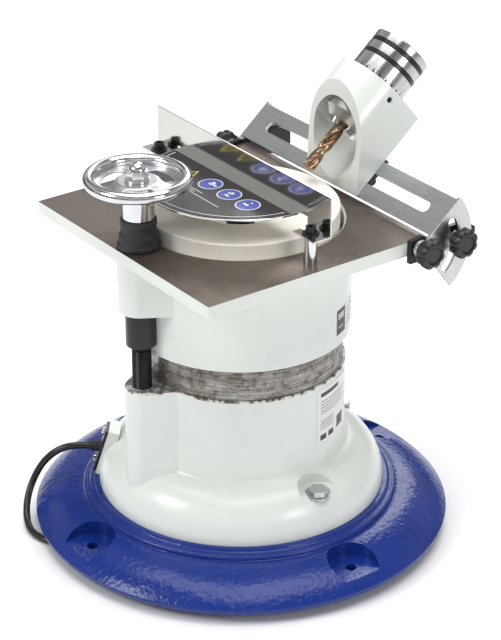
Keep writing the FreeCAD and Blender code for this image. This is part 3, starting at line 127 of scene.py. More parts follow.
class Shader:
    """Builds one material's nodes."""

    def __init__(self, name: str) -> None:
        """Start an empty material."""
        self.material = bpy.data.materials.new(name)
        self.material.use_nodes = True
        self.tree = self.material.node_tree
        self.tree.nodes.clear()
        self.place = self.node("ShaderNodeTexCoord").outputs["Object"]

    def node(
        self, kind: str, settings: Optional[dict] = None, inputs: Optional[dict] = None,
    ) -> bpy.types.Node:
        """Add a node.

        Args:
            kind: Type name of the node.
            settings: Properties, set first.
            inputs: Values or links by socket name or number.

        Returns:
            The node.
        """
        made = self.tree.nodes.new(kind)
        for key, value in (settings or {}).items():
            setattr(made, key, value)
        for key, value in (inputs or {}).items():
            socket = made.inputs[key]
            if isinstance(value, Value):
                value = value.socket
            if isinstance(value, bpy.types.NodeSocket):
                self.tree.links.new(value, socket)
            else:
                socket.default_value = value
        return made

    def maths(self, operation: str, *terms: Any) -> Value:
        """Math node on one or two terms."""
        made = self.node("ShaderNodeMath", {"operation": operation}, dict(enumerate(terms)))
        return Value(self, made.outputs[0])

    def stretched(self, stretch: Sequence[float]) -> bpy.types.NodeSocket:
        """Place scaled along each axis."""
        made = self.node("ShaderNodeVectorMath", {"operation": "MULTIPLY"}, {0: self.place, 1: stretch})
        return made.outputs[0]

    def noise(
        self, scale: float, detail: float = 3.0, rough: float = 0.5, stretch: Sequence[float] = (1, 1, 1),
    ) -> Value:
        """Cloudy noise.

        Args:
            scale: Waves per metre.
            detail: Octaves.
            rough: Share that each octave keeps.
            stretch: Scale along each axis.

        Returns:
            A value about 0.5.
        """
        made = self.node(
            "ShaderNodeTexNoise", None,
            {"Vector": self.stretched(stretch), "Scale": scale, "Detail": detail, "Roughness": rough},
        )
        return Value(self, made.outputs["Fac"])

    def cells(self, scale: float) -> Value:
        """Distance within a field of random cells."""
        made = self.node("ShaderNodeTexVoronoi", {"feature": "F1"}, {"Vector": self.place, "Scale": scale})
        return Value(self, made.outputs["Distance"])

    def along(self, direction: Sequence[float], start: Sequence[float] = (0, 0, 0)) -> Value:
        """Distance of the place along a direction from a start."""
        moved = self.node("ShaderNodeVectorMath", {"operation": "SUBTRACT"}, {0: self.place, 1: start})
        made = self.node(
            "ShaderNodeVectorMath", {"operation": "DOT_PRODUCT"}, {0: moved.outputs[0], 1: direction})
        return Value(self, made.outputs["Value"])

    def facing(self, direction: Sequence[float]) -> Value:
        """How far the surface faces a direction."""
        normal = self.node("ShaderNodeNewGeometry").outputs["True Normal"]
        made = self.node("ShaderNodeVectorMath", {"operation": "DOT_PRODUCT"}, {0: normal, 1: direction})
        return Value(self, made.outputs["Value"])

    def mix(self, first: Any, second: Any, share: Number) -> bpy.types.NodeSocket:
        """Colour between two."""
        def colour(value: Any) -> Any:
            """A colour with its alpha, or the link as it is."""
            return (*value, 1.0) if isinstance(value, tuple) else value

        made = self.node(
            "ShaderNodeMix", {"data_type": "RGBA"}, {0: share, 6: colour(first), 7: colour(second)}
        )
        return made.outputs[2]

    def surface(
        self, base: Any, rough: Number, metal: Number = 0.0, coat: float = 0.0,
        height: Optional[Value] = None, depth: float = 0.0001, specular: float = 0.5,
    ) -> bpy.types.Material:
        """Join everything in a principled surface.

        Args:
            base: Colour or link.
            rough: Roughness.
            metal: Metallic share.
            coat: Clear coat weight.
            height: Relief from 0 to 1.
            depth: Metres of relief.
            specular: Specular level.

        Returns:
            The material.
        """
        inputs = {
            "Base Color": (*base, 1.0) if isinstance(base, tuple) else base,
            "Roughness": rough, "Metallic": metal, "Coat Weight": coat, "Coat Roughness": 0.06,
            "Specular IOR Level": specular,
        }
        if height is not None:
            bump = self.node("ShaderNodeBump", None, {"Strength": 1.0, "Distance": depth, "Height": height})
            inputs["Normal"] = bump.outputs[0]
        shader = self.node("ShaderNodeBsdfPrincipled", None, inputs)
        self.node("ShaderNodeOutputMaterial", None, {"Surface": shader.outputs[0]})
        return self.material


# ---------------------------------------------------------------- finishes
@dataclass(frozen=True)
class CastEnamel:
    """Gloss enamel over a rough casting, with orange peel and dust."""

    name: str
    tint: Colour
    shade: Colour
    peel: float = 190.0
    relief: float = 0.00035
    rough: float = 0.14
    coat: float = 0.6
    specular: float = 0.45

    def layers(self, shader: Shader) -> tuple[bpy.types.NodeSocket, Value, Value]:
        """Colour, roughness and relief of the enamel.

        Args:
            shader: Shader to build in.

        Returns:
            Colour link, roughness and height.
        """
        cloud = shader.noise(8.0, 4.0)
        dust = shader.noise(45.0, 6.0, 0.7).band(0.56, 0.78)
        specks = shader.cells(330.0).band(0.10, 0.02) * shader.noise(25.0).band(0.5, 0.62)
        colour = shader.mix(self.shade, self.tint, cloud.band(0.3, 0.62))
        colour = shader.mix(colour, tuple(part * 0.55 for part in self.shade), specks * 0.7)
        rough = self.rough + dust * 0.16 + cloud * 0.05
        height = shader.noise(self.peel, 2.0, 0.45) * 0.75 + shader.noise(self.peel * 0.32, 1.0) * 0.5
        return colour, rough, height

    def make(self) -> bpy.types.Material:
        """Make the material."""
        shader = Shader(self.name)
        colour, rough, height = self.layers(shader)
        return shader.surface(colour, rough, 0.0, self.coat, height, self.relief, self.specular)


@dataclass(frozen=True)
class TurnedCasting:
    """Painted casting whose guide above the paint line is ground bright."""

    paint: CastEnamel
    paint_top: float

    def make(self) -> bpy.types.Material:
        """Make the material."""
        shader = Shader("turned_casting")
        colour, rough, height = self.paint.layers(shader)
        level = shader.along((0, 0, 1))
        ragged = level + shader.noise(160.0, 4.0, 0.7) * 0.0011 - 0.00055
        bare = ragged.band(self.paint_top - 0.0002, self.paint_top + 0.0002)
        below = ragged.band(self.paint_top - 0.0026, self.paint_top - 0.0012)
        chip = below * shader.noise(120.0, 4.0, 0.7).band(0.5, 0.56)
        streak = shader.noise(26.0, 5.0, 0.6, (1, 1, 26))
        stain = shader.noise(17.0, 6.0, 0.72, (1, 1, 1.5)).band(0.42, 0.64)
        steel = shader.mix((0.40, 0.39, 0.37), (0.17, 0.16, 0.15), streak.band(0.35, 0.66))
        steel = shader.mix(steel, (0.15, 0.115, 0.085), stain * 0.55)
        colour = shader.mix(colour, (0.13, 0.09, 0.065), chip)
        colour = shader.mix(colour, steel, bare)
        rough = rough * (1 - bare) + (0.24 + stain * 0.2 + streak * 0.1) * bare + chip * 0.4
        height = height * (1 - bare) + streak * 0.12 * bare - chip * 0.6
        return shader.surface(colour, rough, bare * 0.9, 0.0, height, self.paint.relief)


@dataclass(frozen=True)
class GroundTable:
    """Painted casting with a ground top that has darkened."""

    paint: CastEnamel
    top: float

    def make(self) -> bpy.types.Material:
        """Make the material."""
        shader = Shader("ground_table")
        colour, rough, height = self.paint.layers(shader)
        upper = shader.along((0, 0, 1)).band(self.top - 0.0012, self.top - 0.0007)
        bare = upper * shader.facing((0, 0, 1)).band(0.5, 0.9)
        scratch = shader.noise(14.0, 6.0, 0.7, (30, 1.4, 1))
        cross = shader.noise(30.0, 5.0, 0.6, (1.2, 22, 1))
        stain = shader.noise(13.0, 6.0, 0.68).band(0.38, 0.66)
        iron = shader.mix((0.185, 0.155, 0.132), (0.125, 0.100, 0.083), stain)
        iron = shader.mix(iron, (0.26, 0.23, 0.205), scratch.band(0.55, 0.72) * 0.5)
        iron = shader.mix(iron, (0.09, 0.07, 0.055), cross.band(0.60, 0.75) * 0.35)
        colour = shader.mix(colour, iron, bare)
        rough = rough * (1 - bare) + (0.33 + stain * 0.14 + scratch * 0.1) * bare
        height = height * (1 - bare) + (scratch + cross) * 0.10 * bare
        return shader.surface(colour, rough, bare * 0.75, 0.0, height, self.paint.relief)


@dataclass(frozen=True)
class Metal:
    """Bare or plated metal with a grain direction."""

    name: str
    bright: Colour
    dark: Colour
    rough: float
    grain: tuple[float, float, float] = (1.0, 1.0, 20.0)
    contrast: float = 0.4
    relief: float = 0.00001

    def make(self) -> bpy.types.Material:
        """Make the material."""
        shader = Shader(self.name)
        lines = shader.noise(60.0, 5.0, 0.65, self.grain)
        cloud = shader.noise(22.0, 4.0, 0.6)
        wear = shader.noise(140.0, 5.0, 0.7).band(0.55, 0.8)
        colour = shader.mix(self.bright, self.dark, lines.band(0.35, 0.7) * self.contrast)
        colour = shader.mix(colour, self.dark, cloud.band(0.5, 0.75) * self.contrast * 0.8)
        rough = self.rough + cloud * 0.08 + wear * 0.08
        return shader.surface(colour, rough, 1.0, 0.0, lines, self.relief)


@dataclass(frozen=True)
class Moulded:
    """Plastic, rubber or matt black coating with a fine texture."""

    name: str
    tint: Colour
    rough: float
    texture: float = 900.0
    relief: float = 0.00006
    metal: float = 0.0

    def make(self) -> bpy.types.Material:
        """Make the material."""
        shader = Shader(self.name)
        fine = shader.noise(self.texture, 3.0, 0.6)
        cloud = shader.noise(30.0, 5.0, 0.65)
        dust = shader.noise(210.0, 6.0, 0.75).band(0.58, 0.8)
        grey = tuple(part * 0.6 + 0.05 for part in self.tint)
        colour = shader.mix(self.tint, grey, dust * 0.35 + cloud.band(0.5, 0.8) * 0.25)
        return shader.surface(
            colour, self.rough + cloud * 0.14 + dust * 0.12, self.metal, 0.0, fine, self.relief)


@dataclass(frozen=True)
class Abrasive:
    """Cream bonded grit with darker grains and a rubbed rim."""

    def make(self) -> bpy.types.Material:
        """Make the material."""
        shader = Shader("bonded_grit")
        grain = shader.cells(1500.0)
        coarse = shader.cells(520.0)
        cloud = shader.noise(16.0, 6.0, 0.7)
        rings = shader.noise(12.0, 3.0, 0.5, (1, 1, 14))
        colour = shader.mix((0.96, 0.93, 0.86), (0.88, 0.82, 0.72), cloud.band(0.4, 0.7))
        colour = shader.mix(colour, (0.93, 0.89, 0.80), rings.band(0.45, 0.7) * 0.6)
        colour = shader.mix(colour, (0.42, 0.33, 0.24), coarse.band(0.12, 0.02) * 0.6)
        height = grain * 0.7 + coarse * 0.5
        return shader.surface(colour, 0.86 - grain * 0.1, 0.0, 0.0, height, 0.00022, 0.25)


@dataclass(frozen=True)
class BronzeOxide:
    """Bronze-coloured oxide of a high speed steel drill, rubbed bright on its lands."""

    def make(self) -> bpy.types.Material:
        """Make the material."""
        shader = Shader("bronze_oxide")
        cloud = shader.noise(120.0, 5.0, 0.7)
        lines = shader.noise(300.0, 4.0, 0.6, (1, 1, 6))
        colour = shader.mix((0.30, 0.185, 0.11), (0.55, 0.42, 0.30), cloud.band(0.45, 0.66))
        colour = shader.mix(colour, (0.10, 0.065, 0.045), lines.band(0.5, 0.75) * 0.6)
        return shader.surface(colour, 0.16 + cloud * 0.16, 1.0, 0.0, lines, 0.00002)


@dataclass(frozen=True)
class Printed:
    """Flat print or film with a faint grain."""

    name: str
    tint: Colour
    rough: float = 0.38

    def make(self) -> bpy.types.Material:
        """Make the material."""
        shader = Shader(self.name)
        fibre = shader.noise(700.0, 4.0, 0.6)
        worn = shader.noise(60.0, 5.0, 0.7).band(0.6, 0.8)
        soft = tuple(part * 0.85 + 0.02 for part in self.tint)
        colour = shader.mix(self.tint, soft, worn * 0.7 + fibre * 0.2)
        return shader.surface(colour, self.rough + worn * 0.2, 0.0, 0.15, fibre, 0.00001)


WHITE_PAINT = CastEnamel("grey_enamel", (0.76, 0.79, 0.75), (0.70, 0.735, 0.695), 130.0, 0.00022, 0.20, 0.30)
BLUE_PAINT = CastEnamel(
    "blue_enamel", (0.006, 0.028, 0.22), (0.004, 0.021, 0.17), 210.0, 0.0010, 0.20, 0.12, 0.32)


class Palette:
    """All finishes, each made once."""

    def __init__(self) -> None:
        """Make every material."""
        upright = (1.0, 1.0, 0.04)
        self.white = WHITE_PAINT.make()
        self.blue = BLUE_PAINT.make()
        self.chrome = Metal(
            "chrome_plate", (0.74, 0.75, 0.76), (0.50, 0.51, 0.52), 0.10, (1, 1, 1), 0.3,
        ).make()
        self.brushed = Metal(
            "brushed_chrome", (0.60, 0.60, 0.60), (0.40, 0.40, 0.40), 0.30, (1, 1, 12), 0.5, 0.00003,
        ).make()
        self.mirror = Metal(
            "polished_sheet", (0.66, 0.65, 0.63), (0.46, 0.45, 0.43), 0.09, (0.3, 14, 14), 0.3,
        ).make()
        self.zinc = Metal("zinc_plate", (0.62, 0.63, 0.64), (0.40, 0.41, 0.42), 0.24, (0.6, 9, 9), 0.5).make()
        self.steel = Metal(
            "turned_steel", (0.50, 0.49, 0.47), (0.26, 0.25, 0.24), 0.24, (1, 1, 22), 0.5,
        ).make()
        self.knurled = Metal(
            "chuck_steel", (0.60, 0.60, 0.60), (0.30, 0.29, 0.29), 0.16, (14, 1, 1), 0.5,
        ).make()
        self.alloy = Metal(
            "cast_alloy", (0.55, 0.56, 0.57), (0.38, 0.38, 0.39), 0.42, (1, 1, 1), 0.5, 0.00004,
        ).make()
        self.copper = Metal(
            "enamelled_copper", (0.62, 0.27, 0.12), (0.30, 0.12, 0.05), 0.25, upright, 0.8, 0.0003,
        ).make()
        self.black_steel = Moulded("oiled_black", (0.022, 0.021, 0.023), 0.24, 500.0, 0.00003, 0.45).make()
        self.rubber = Moulded("black_rubber", (0.020, 0.018, 0.020), 0.52, 650.0, 0.00008).make()
        self.plastic = Moulded("black_plastic", (0.014, 0.013, 0.014), 0.28, 1100.0, 0.00003).make()
        self.red = Moulded("red_plastic", (0.42, 0.012, 0.010), 0.22, 1200.0, 0.00002).make()
        self.sheet = Moulded("dark_sheet", (0.035, 0.035, 0.037), 0.42, 420.0, 0.00005).make()
        self.vinyl = Moulded("cord_vinyl", (0.010, 0.010, 0.011), 0.20, 1500.0, 0.00002).make()
        self.grit = Abrasive().make()
        self.bronze = BronzeOxide().make()
        self.black_film = Printed("black_film", (0.014, 0.011, 0.012), 0.42).make()
        self.white_film = Printed("white_film", (0.80, 0.81, 0.80)).make()
        self.blue_print = Printed("blue_print", (0.055, 0.075, 0.36)).make()
        self.yellow_print = Printed("yellow_print", (0.66, 0.56, 0.06)).make()
        self.grey_print = Printed("grey_print", (0.16, 0.16, 0.17)).make()


# ---------------------------------------------------------------- mesh building
class Sheet:
    """Points and faces of a mesh in the making."""

    def __init__(self) -> None:
        """Start empty."""
        self.points: list[Vector] = []
        self.faces: list[tuple[int, ...]] = []
        self.paints: list[int] = []

    def rings(
        self, rings: Sequence[Sequence[Vector]], closed: bool = False, capped: bool = False, paint: int = 0,
    ) -> None:
        """Skin a row of rings that have the same number of points.

        Args:
            rings: The rings in order.
            closed: Join the last ring to the first.
            capped: Close both ends with a face.
            paint: Material number of the faces.
        """
        start = len(self.points)
        count = len(rings[0])
        for ring in rings:
            self.points += list(ring)
        for row in range(len(rings) - (0 if closed else 1)):
            a = start + row * count
            b = start + (row + 1) % len(rings) * count
            for k in range(count):
                n = (k + 1) % count
                self.add((a + k, a + n, b + n, b + k), paint)
        if capped:
            self.add(tuple(start + k for k in reversed(range(count))), paint)
            self.add(tuple(start + (len(rings) - 1) * count + k for k in range(count)), paint)

    def add(self, face: tuple[int, ...], paint: int = 0) -> None:
        """Add one face by point numbers."""
        self.faces.append(face)
        self.paints.append(paint)

    def patch(self, outline: Sequence[Vector], paint: int = 0) -> None:
        """Add one flat face by its corners."""
        start = len(self.points)
        self.points += list(outline)
        self.add(tuple(range(start, start + len(outline))), paint)

    def build(
        self, name: str, body: str, slot: Slot, materials: Sequence[bpy.types.Material],
        replaces: Iterable[str] = (), flat: bool = False,
    ) -> bpy.types.Object:
        """Turn it into a piece that rides on a body.

        Args:
            name: Name of the piece.
            body: Body that carries it.
            slot: Material slot of the record; not used.
            materials: Finishes by material number.
            replaces: Nodes that it stands for.
            flat: Shade flat.

        Returns:
            The object.
        """
        mesh = bpy.data.meshes.new(name)
        mesh.from_pydata([tuple(point) for point in self.points], [], self.faces)
        mesh.validate()
        for material in materials:
            mesh.materials.append(material)
        if len(mesh.polygons) == len(self.paints):
            mesh.polygons.foreach_set("material_index", self.paints)
        if not flat:
            mesh.shade_smooth()
        piece = bpy.data.objects.new(name, mesh)
        bpy.context.scene.collection.objects.link(piece)
        if not flat:
            keep_creases(piece)
        return register(piece, body, replaces)


def register(
    piece: bpy.types.Object, body: str, replaces: Iterable[str] = (),
) -> bpy.types.Object:
    """Put a piece on its body and report it."""
    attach(piece, body)
    for node in replaces:
        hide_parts(node)
    LOG.info("%s rides on %s", piece.name, body)
    return piece


def keep_creases(piece: bpy.types.Object, angle: float = 40.0) -> None:
    """Shade smooth except across sharp edges."""
    split = piece.modifiers.new("creases", "EDGE_SPLIT")
    split.split_angle = math.radians(angle)


def paint_node(node: str, material: bpy.types.Material) -> bpy.types.Object:
    """Give a frame node its finish and report it."""
    piece = frame["nodes"][node]
    piece.data.materials.clear()
    piece.data.materials.append(material)
    LOG.info("%s dressed in %s", node, material.name)
    return piece


def soften(piece: bpy.types.Object, width: float, segments: int) -> bpy.types.Modifier:
    """Round a piece's edges and even out its shading.

    Args:
        piece: The piece.
        width: Width of the rounding in metres.
        segments: Faces across it.

    Returns:
        The rounding, whose edges are still to be chosen.
    """
    piece.modifiers.new("weld", "WELD").merge_threshold = WELD_GAP
    soft = piece.modifiers.new("soft", "BEVEL")
    soft.width = width
    soft.segments = segments
    piece.modifiers.new("shade", "WEIGHTED_NORMAL").keep_sharp = False
    return soft


def dress(node: str, material: bpy.types.Material, edge: float = 0.0) -> None:
    """Give a frame node its finish and softened edges.

    Args:
        node: Name of the node.
        material: Its finish.
        edge: Radius of its edges in metres, or 0 to leave them.
    """
    piece = paint_node(node, material)
    if edge > 0:
        soft = soften(piece, edge, 2)
        soft.limit_method = "ANGLE"
        soft.angle_limit = math.radians(SHARP_FROM)


def rounded(corners: Outline, radius: float, steps: int = 4) -> Outline:
    """Round the inner corners of an open outline.

    Args:
        corners: The outline's corners.
        radius: Radius, cut to the room at each corner.
        steps: Points on each round.

    Returns:
        The rounded outline.
    """
    out: Outline = [corners[0]]
    for before, here, after in zip(corners, corners[1:], corners[2:]):
        a = Vector(before) - Vector(here)
        b = Vector(after) - Vector(here)
        reach = min(radius, a.length * 0.45, b.length * 0.45)
        first = Vector(here) + a.normalized() * reach
        last = Vector(here) + b.normalized() * reach
        for k in range(steps + 1):
            t = k / steps
            spot = first * (1 - t) ** 2 + Vector(here) * (2 * t * (1 - t)) + last * t ** 2
            out.append((spot.x, spot.y))
    out.append(corners[-1])
    return out


@dataclass(frozen=True)
class Axle:
    """A line with two directions across it, for things turned about it."""

    origin: Vector
    along: Vector
    side: Vector

    def at(self, distance: float, radius: float, turn: float) -> Vector:
        """Point at a distance along, a radius and a turn in radians."""
        up = self.along.cross(self.side)
        across = self.side * math.cos(turn) + up * math.sin(turn)
        return self.origin + self.along * distance + across * radius

    def ring(self, distance: float, radius: Radius, count: int = 72) -> list[Vector]:
        """Ring of points, of one radius or of a radius for each turn."""
        turns = [2 * math.pi * k / count for k in range(count)]
        if callable(radius):
            return [self.at(distance, radius(turn), turn) for turn in turns]
        return [self.at(distance, radius, turn) for turn in turns]

    def lathe(self, outline: Outline, count: int = 72, closed: bool = False, capped: bool = True) -> Sheet:
        """Turned solid from an outline of (distance, radius)."""
        sheet = Sheet()
        sheet.rings([self.ring(d, r, count) for d, r in outline], closed, capped and not closed)
        return sheet


def joint(name: str) -> dict:
    """One joint of the record."""
    return next(one for one in frame["joints"] if one["name"] == name)


def joint_axle(name: str) -> Axle:
    """The axle of a joint."""
    found = joint(name)
    along = Vector(found["axis"])
    side = Vector((1, 0, 0)) if abs(along.x) < 0.9 else Vector((0, 1, 0))
    return Axle(Vector(found["pos_m"]), along, side)


# ---------------------------------------------------------------- stand: ring, bell, drum and motor
@dataclass
class Stand:
    """Cast ring, lower housing and what is bolted to them."""

    palette: Palette
    paint_top: float = 181 * MM

    def dress(self) -> None:
        """Finish the stand's nodes."""
        kit = self.palette
        dress("base_ring", kit.blue, 1.6 * MM)
        dress("lower_housing", TurnedCasting(WHITE_PAINT, self.paint_top).make(), 1.2 * MM)
        dress("rubber_feet", kit.rubber, 1.2 * MM)
        dress("housing_bolts", kit.zinc, 0.6 * MM)
        dress("housing_washers", kit.zinc, 0.3 * MM)
        dress("bottom_cover", kit.sheet)
        dress("cord_clamp", kit.black_steel, 0.5 * MM)
        dress("clamp_screws", kit.chrome, 0.6 * MM)
        dress("switch_box", kit.plastic, 1.2 * MM)
        dress("switch_rocker", kit.red, 0.6 * MM)

    def motor(self) -> None:
        """Finish the motor's nodes."""
        kit = self.palette
        finishes = {
            "motor_frame": kit.alloy, "motor_stator": kit.steel, "motor_windings": kit.copper,
            "motor_end_shield": kit.alloy, "motor_screws": kit.zinc, "ball_bearings": kit.chrome,
            "run_capacitor": kit.alloy, "wheel_spindle": kit.steel, "motor_rotor": kit.steel,
            "cooling_fan": kit.plastic,
        }
        for node, material in finishes.items():
            dress(node, material, 0.3 * MM)


# ---------------------------------------------------------------- wheel
@dataclass
class Wheel:
    """Grinding wheel with its flanges and nut."""

    palette: Palette

    def dress(self) -> None:
        """Finish the wheel's nodes."""
        kit = self.palette
        dress("grinding_wheel", kit.grit)
        dress("backing_flange", kit.steel, 0.5 * MM)
        dress("clamp_flange", kit.steel, 0.5 * MM)
        dress("wheel_nut", kit.black_steel, 0.8 * MM)


# ---------------------------------------------------------------- table with its guard
@dataclass
class Table:
    """Table casting, guard, brackets and the boot round the screw."""

    palette: Palette
    disc_radius: float = 12 * MM

    def dress(self) -> None:
        """Finish the table's nodes."""
        kit = self.palette
        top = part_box("table_casting")[1].z
        dress("table_casting", GroundTable(WHITE_PAINT, top).make(), 1.0 * MM)
        dress("guard_posts", kit.chrome, 0.5 * MM)
        dress("guard_sheet", kit.mirror, 0.3 * MM)
        dress("guard_screws", kit.black_steel, 0.4 * MM)
        dress("guard_label", kit.black_film)
        dress("bracket_right", kit.black_steel, 0.6 * MM)
        dress("bracket_left", kit.black_steel, 0.6 * MM)
        dress("bracket_screws", kit.black_steel)
        dress("clamp_studs", kit.zinc, 0.4 * MM)
        dress("skirt_label", kit.white_film)
        dress("rating_label", kit.white_film)

    def boot(self) -> None:
        """Stepped rubber boot with rounded shoulders."""
        low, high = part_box("screw_boot")
        centre = (low + high) / 2
        radius = (high.x - low.x) / 2
        inner = radius - 9 * MM
        tall = high.z - low.z
        outline = rounded([
            (0.0, inner), (0.0, radius), (4.2 * MM, radius), (6.0 * MM, radius - 1.4 * MM),
            (13.5 * MM, radius - 1.9 * MM), (16.0 * MM, radius - 3.6 * MM),
            (tall - 7 * MM, radius - 4.0 * MM), (tall - 5.5 * MM, radius - 3.2 * MM),
            (tall, radius - 3.4 * MM), (tall, inner), (0.0, inner),
        ], 1.6 * MM)
        axle = Axle(Vector((centre.x, centre.y, low.z)), Vector((0, 0, 1)), Vector((1, 0, 0)))
        sheet = axle.lathe(outline, 72, closed=True)
        sheet.build("rubber_boot", "table", Slot.RUBBER, [self.palette.rubber], ["screw_boot"])

    def guard_print(self) -> None:
        """Generic print on the guard's label: discs, triangles, rules and an arrow."""
        low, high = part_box("guard_label")
        kit = self.palette
        radius = (high.x - low.x) / 2
        level = high.z + 0.05 * MM
        sheet = Sheet()

        def arc(
            x: float, y: float, inner: float, outer: float, first: float, last: float, paint: int,
            lift: float = 0.0,
        ) -> None:
            """Flat band between two radii and two angles."""
            count = max(3, int(abs(last - first) / 6))
            for k in range(count):
                turns = [math.radians(first + (last - first) * (k + step) / count) for step in (0, 1)]
                corners = [(inner, turns[0]), (outer, turns[0]), (outer, turns[1]), (inner, turns[1])]
                sheet.patch([
                    Vector((x + r * math.cos(t), y + r * math.sin(t), level + lift)) for r, t in corners
                ], paint)

        def bar(x: float, y: float, length: float, width: float, paint: int, lift: float = 0.0) -> None:
            """Flat bar along X."""
            corners = [(x, y), (x + length, y), (x + length, y + width), (x, y + width)]
            sheet.patch([Vector((a, b, level + lift)) for a, b in corners], paint)

        arc(0, 0, radius - 4.2 * MM, radius - 3.4 * MM, 189, 351, 0)
        symbols = [((-2.5, 5, 0), (0, 8, 1)), ((-4, 4, 2), (-3, 6, -3)), ((-5, 7, -1), (-2, 4, 3))]
        for place, marks in zip((-5, 25, 54), symbols):
            x, y = place * MM, -31 * MM
            arc(x, y, 0, self.disc_radius, 0, 360, 0)
            arc(x, y, 0, self.disc_radius - 1 * MM, 0, 360, 1, 0.05 * MM)
            for left, length, up in marks:
                bar(x + left * MM, y + (up - 1.2) * MM, length * MM, 2.4 * MM, 0, 0.1 * MM)
            arc(x, y + 3.6 * MM, 0, 2.2 * MM, 0, 360, 0, 0.1 * MM)
        for place in (-64, -36):
            corners = [(-11, -8), (11, -8), (0, 11)]
            for scale, paint, lift in ((1.0, 2, 0.0), (0.78, 3, 0.05)):
                sheet.patch([
                    Vector(((place + x * scale) * MM, (-33 + y * scale) * MM, level + lift * MM))
                    for x, y in corners
                ], paint)
        for row, (start, length) in enumerate(((-36, 44), (-30, 30), (-4, 46))):
            bar(start * MM, (-50 - 3.2 * row) * MM, length * MM, 0.7 * MM, 0)
        arc(-26 * MM, -62 * MM, 5.4 * MM, 6.8 * MM, 120, 300, 0)
        arrow = ((-23.5, -65.8), (-18, -69.5), (-24.5, -71.5))
        sheet.patch([Vector((x * MM, y * MM, level)) for x, y in arrow], 0)
        sheet.build(
            "guard_print", "table", Slot.FILM,
            [kit.white_film, kit.blue_print, kit.yellow_print, kit.black_film], flat=True)

    def wrapped(
        self, node: str, name: str, body: str, bars: Sequence[tuple[float, float, float, float, int]],
    ) -> None:
        """Bars of print wrapped on a round label.

        Args:
            node: The label's node.
            name: Name of the print.
            body: Body that carries it.
            bars: Shares of the label's width and height, from and to, with a material number.
        """
        mesh = frame["nodes"][node].data
        low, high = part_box(node)
        radius = max(math.hypot(point.co.x, point.co.y) for point in mesh.vertices) + 0.08 * MM
        turns = [math.atan2(point.co.y, point.co.x) for point in mesh.vertices]
        first, last = min(turns), max(turns)
        sheet = Sheet()
        for left, right, bottom, top, paint in bars:
            steps = max(2, int((right - left) * 14))
            for k in range(steps):
                pair = [first + (last - first) * (left + (right - left) * (k + s) / steps) for s in (0, 1)]
                heights = [low.z + (high.z - low.z) * share for share in (bottom, top)]
                (first_turn, last_turn), (foot, head) = pair, heights
                corners = [(first_turn, foot), (last_turn, foot), (last_turn, head), (first_turn, head)]
                sheet.patch([
                    Vector((radius * math.cos(t), radius * math.sin(t), z)) for t, z in corners
                ], paint)
        kit = self.palette
        sheet.build(name, body, Slot.FILM, [kit.grey_print, kit.black_film, kit.white_film], flat=True)

    def prints(self) -> None:
        """Rules and boxes that stand for the labels' text."""
        lines = [(0.08, 0.62, 0.86, 0.93, 1)]
        lines += [
            (0.08, 0.9 - 0.07 * (row % 3), 0.76 - 0.055 * row, 0.775 - 0.055 * row, 0) for row in range(5)
        ]
        lines += [(0.08, 0.46, 0.40 - 0.05 * row, 0.415 - 0.05 * row, 0) for row in range(4)]
        lines += [(0.08, 0.24, 0.05, 0.15, 1), (0.30, 0.46, 0.05, 0.15, 1), (0.58, 0.84, 0.08, 0.30, 1)]
        self.wrapped("rating_label", "rating_print", "base", lines)
        marks = [(0.0, 0.42, 0.0, 1.0, 1), (0.06, 0.36, 0.60, 0.85, 2), (0.06, 0.30, 0.25, 0.32, 2)]
        marks += [(0.5, 0.92 - 0.1 * (row % 2), 0.78 - 0.16 * row, 0.83 - 0.16 * row, 0) for row in range(5)]
        self.wrapped("skirt_label", "skirt_print", "table", marks)


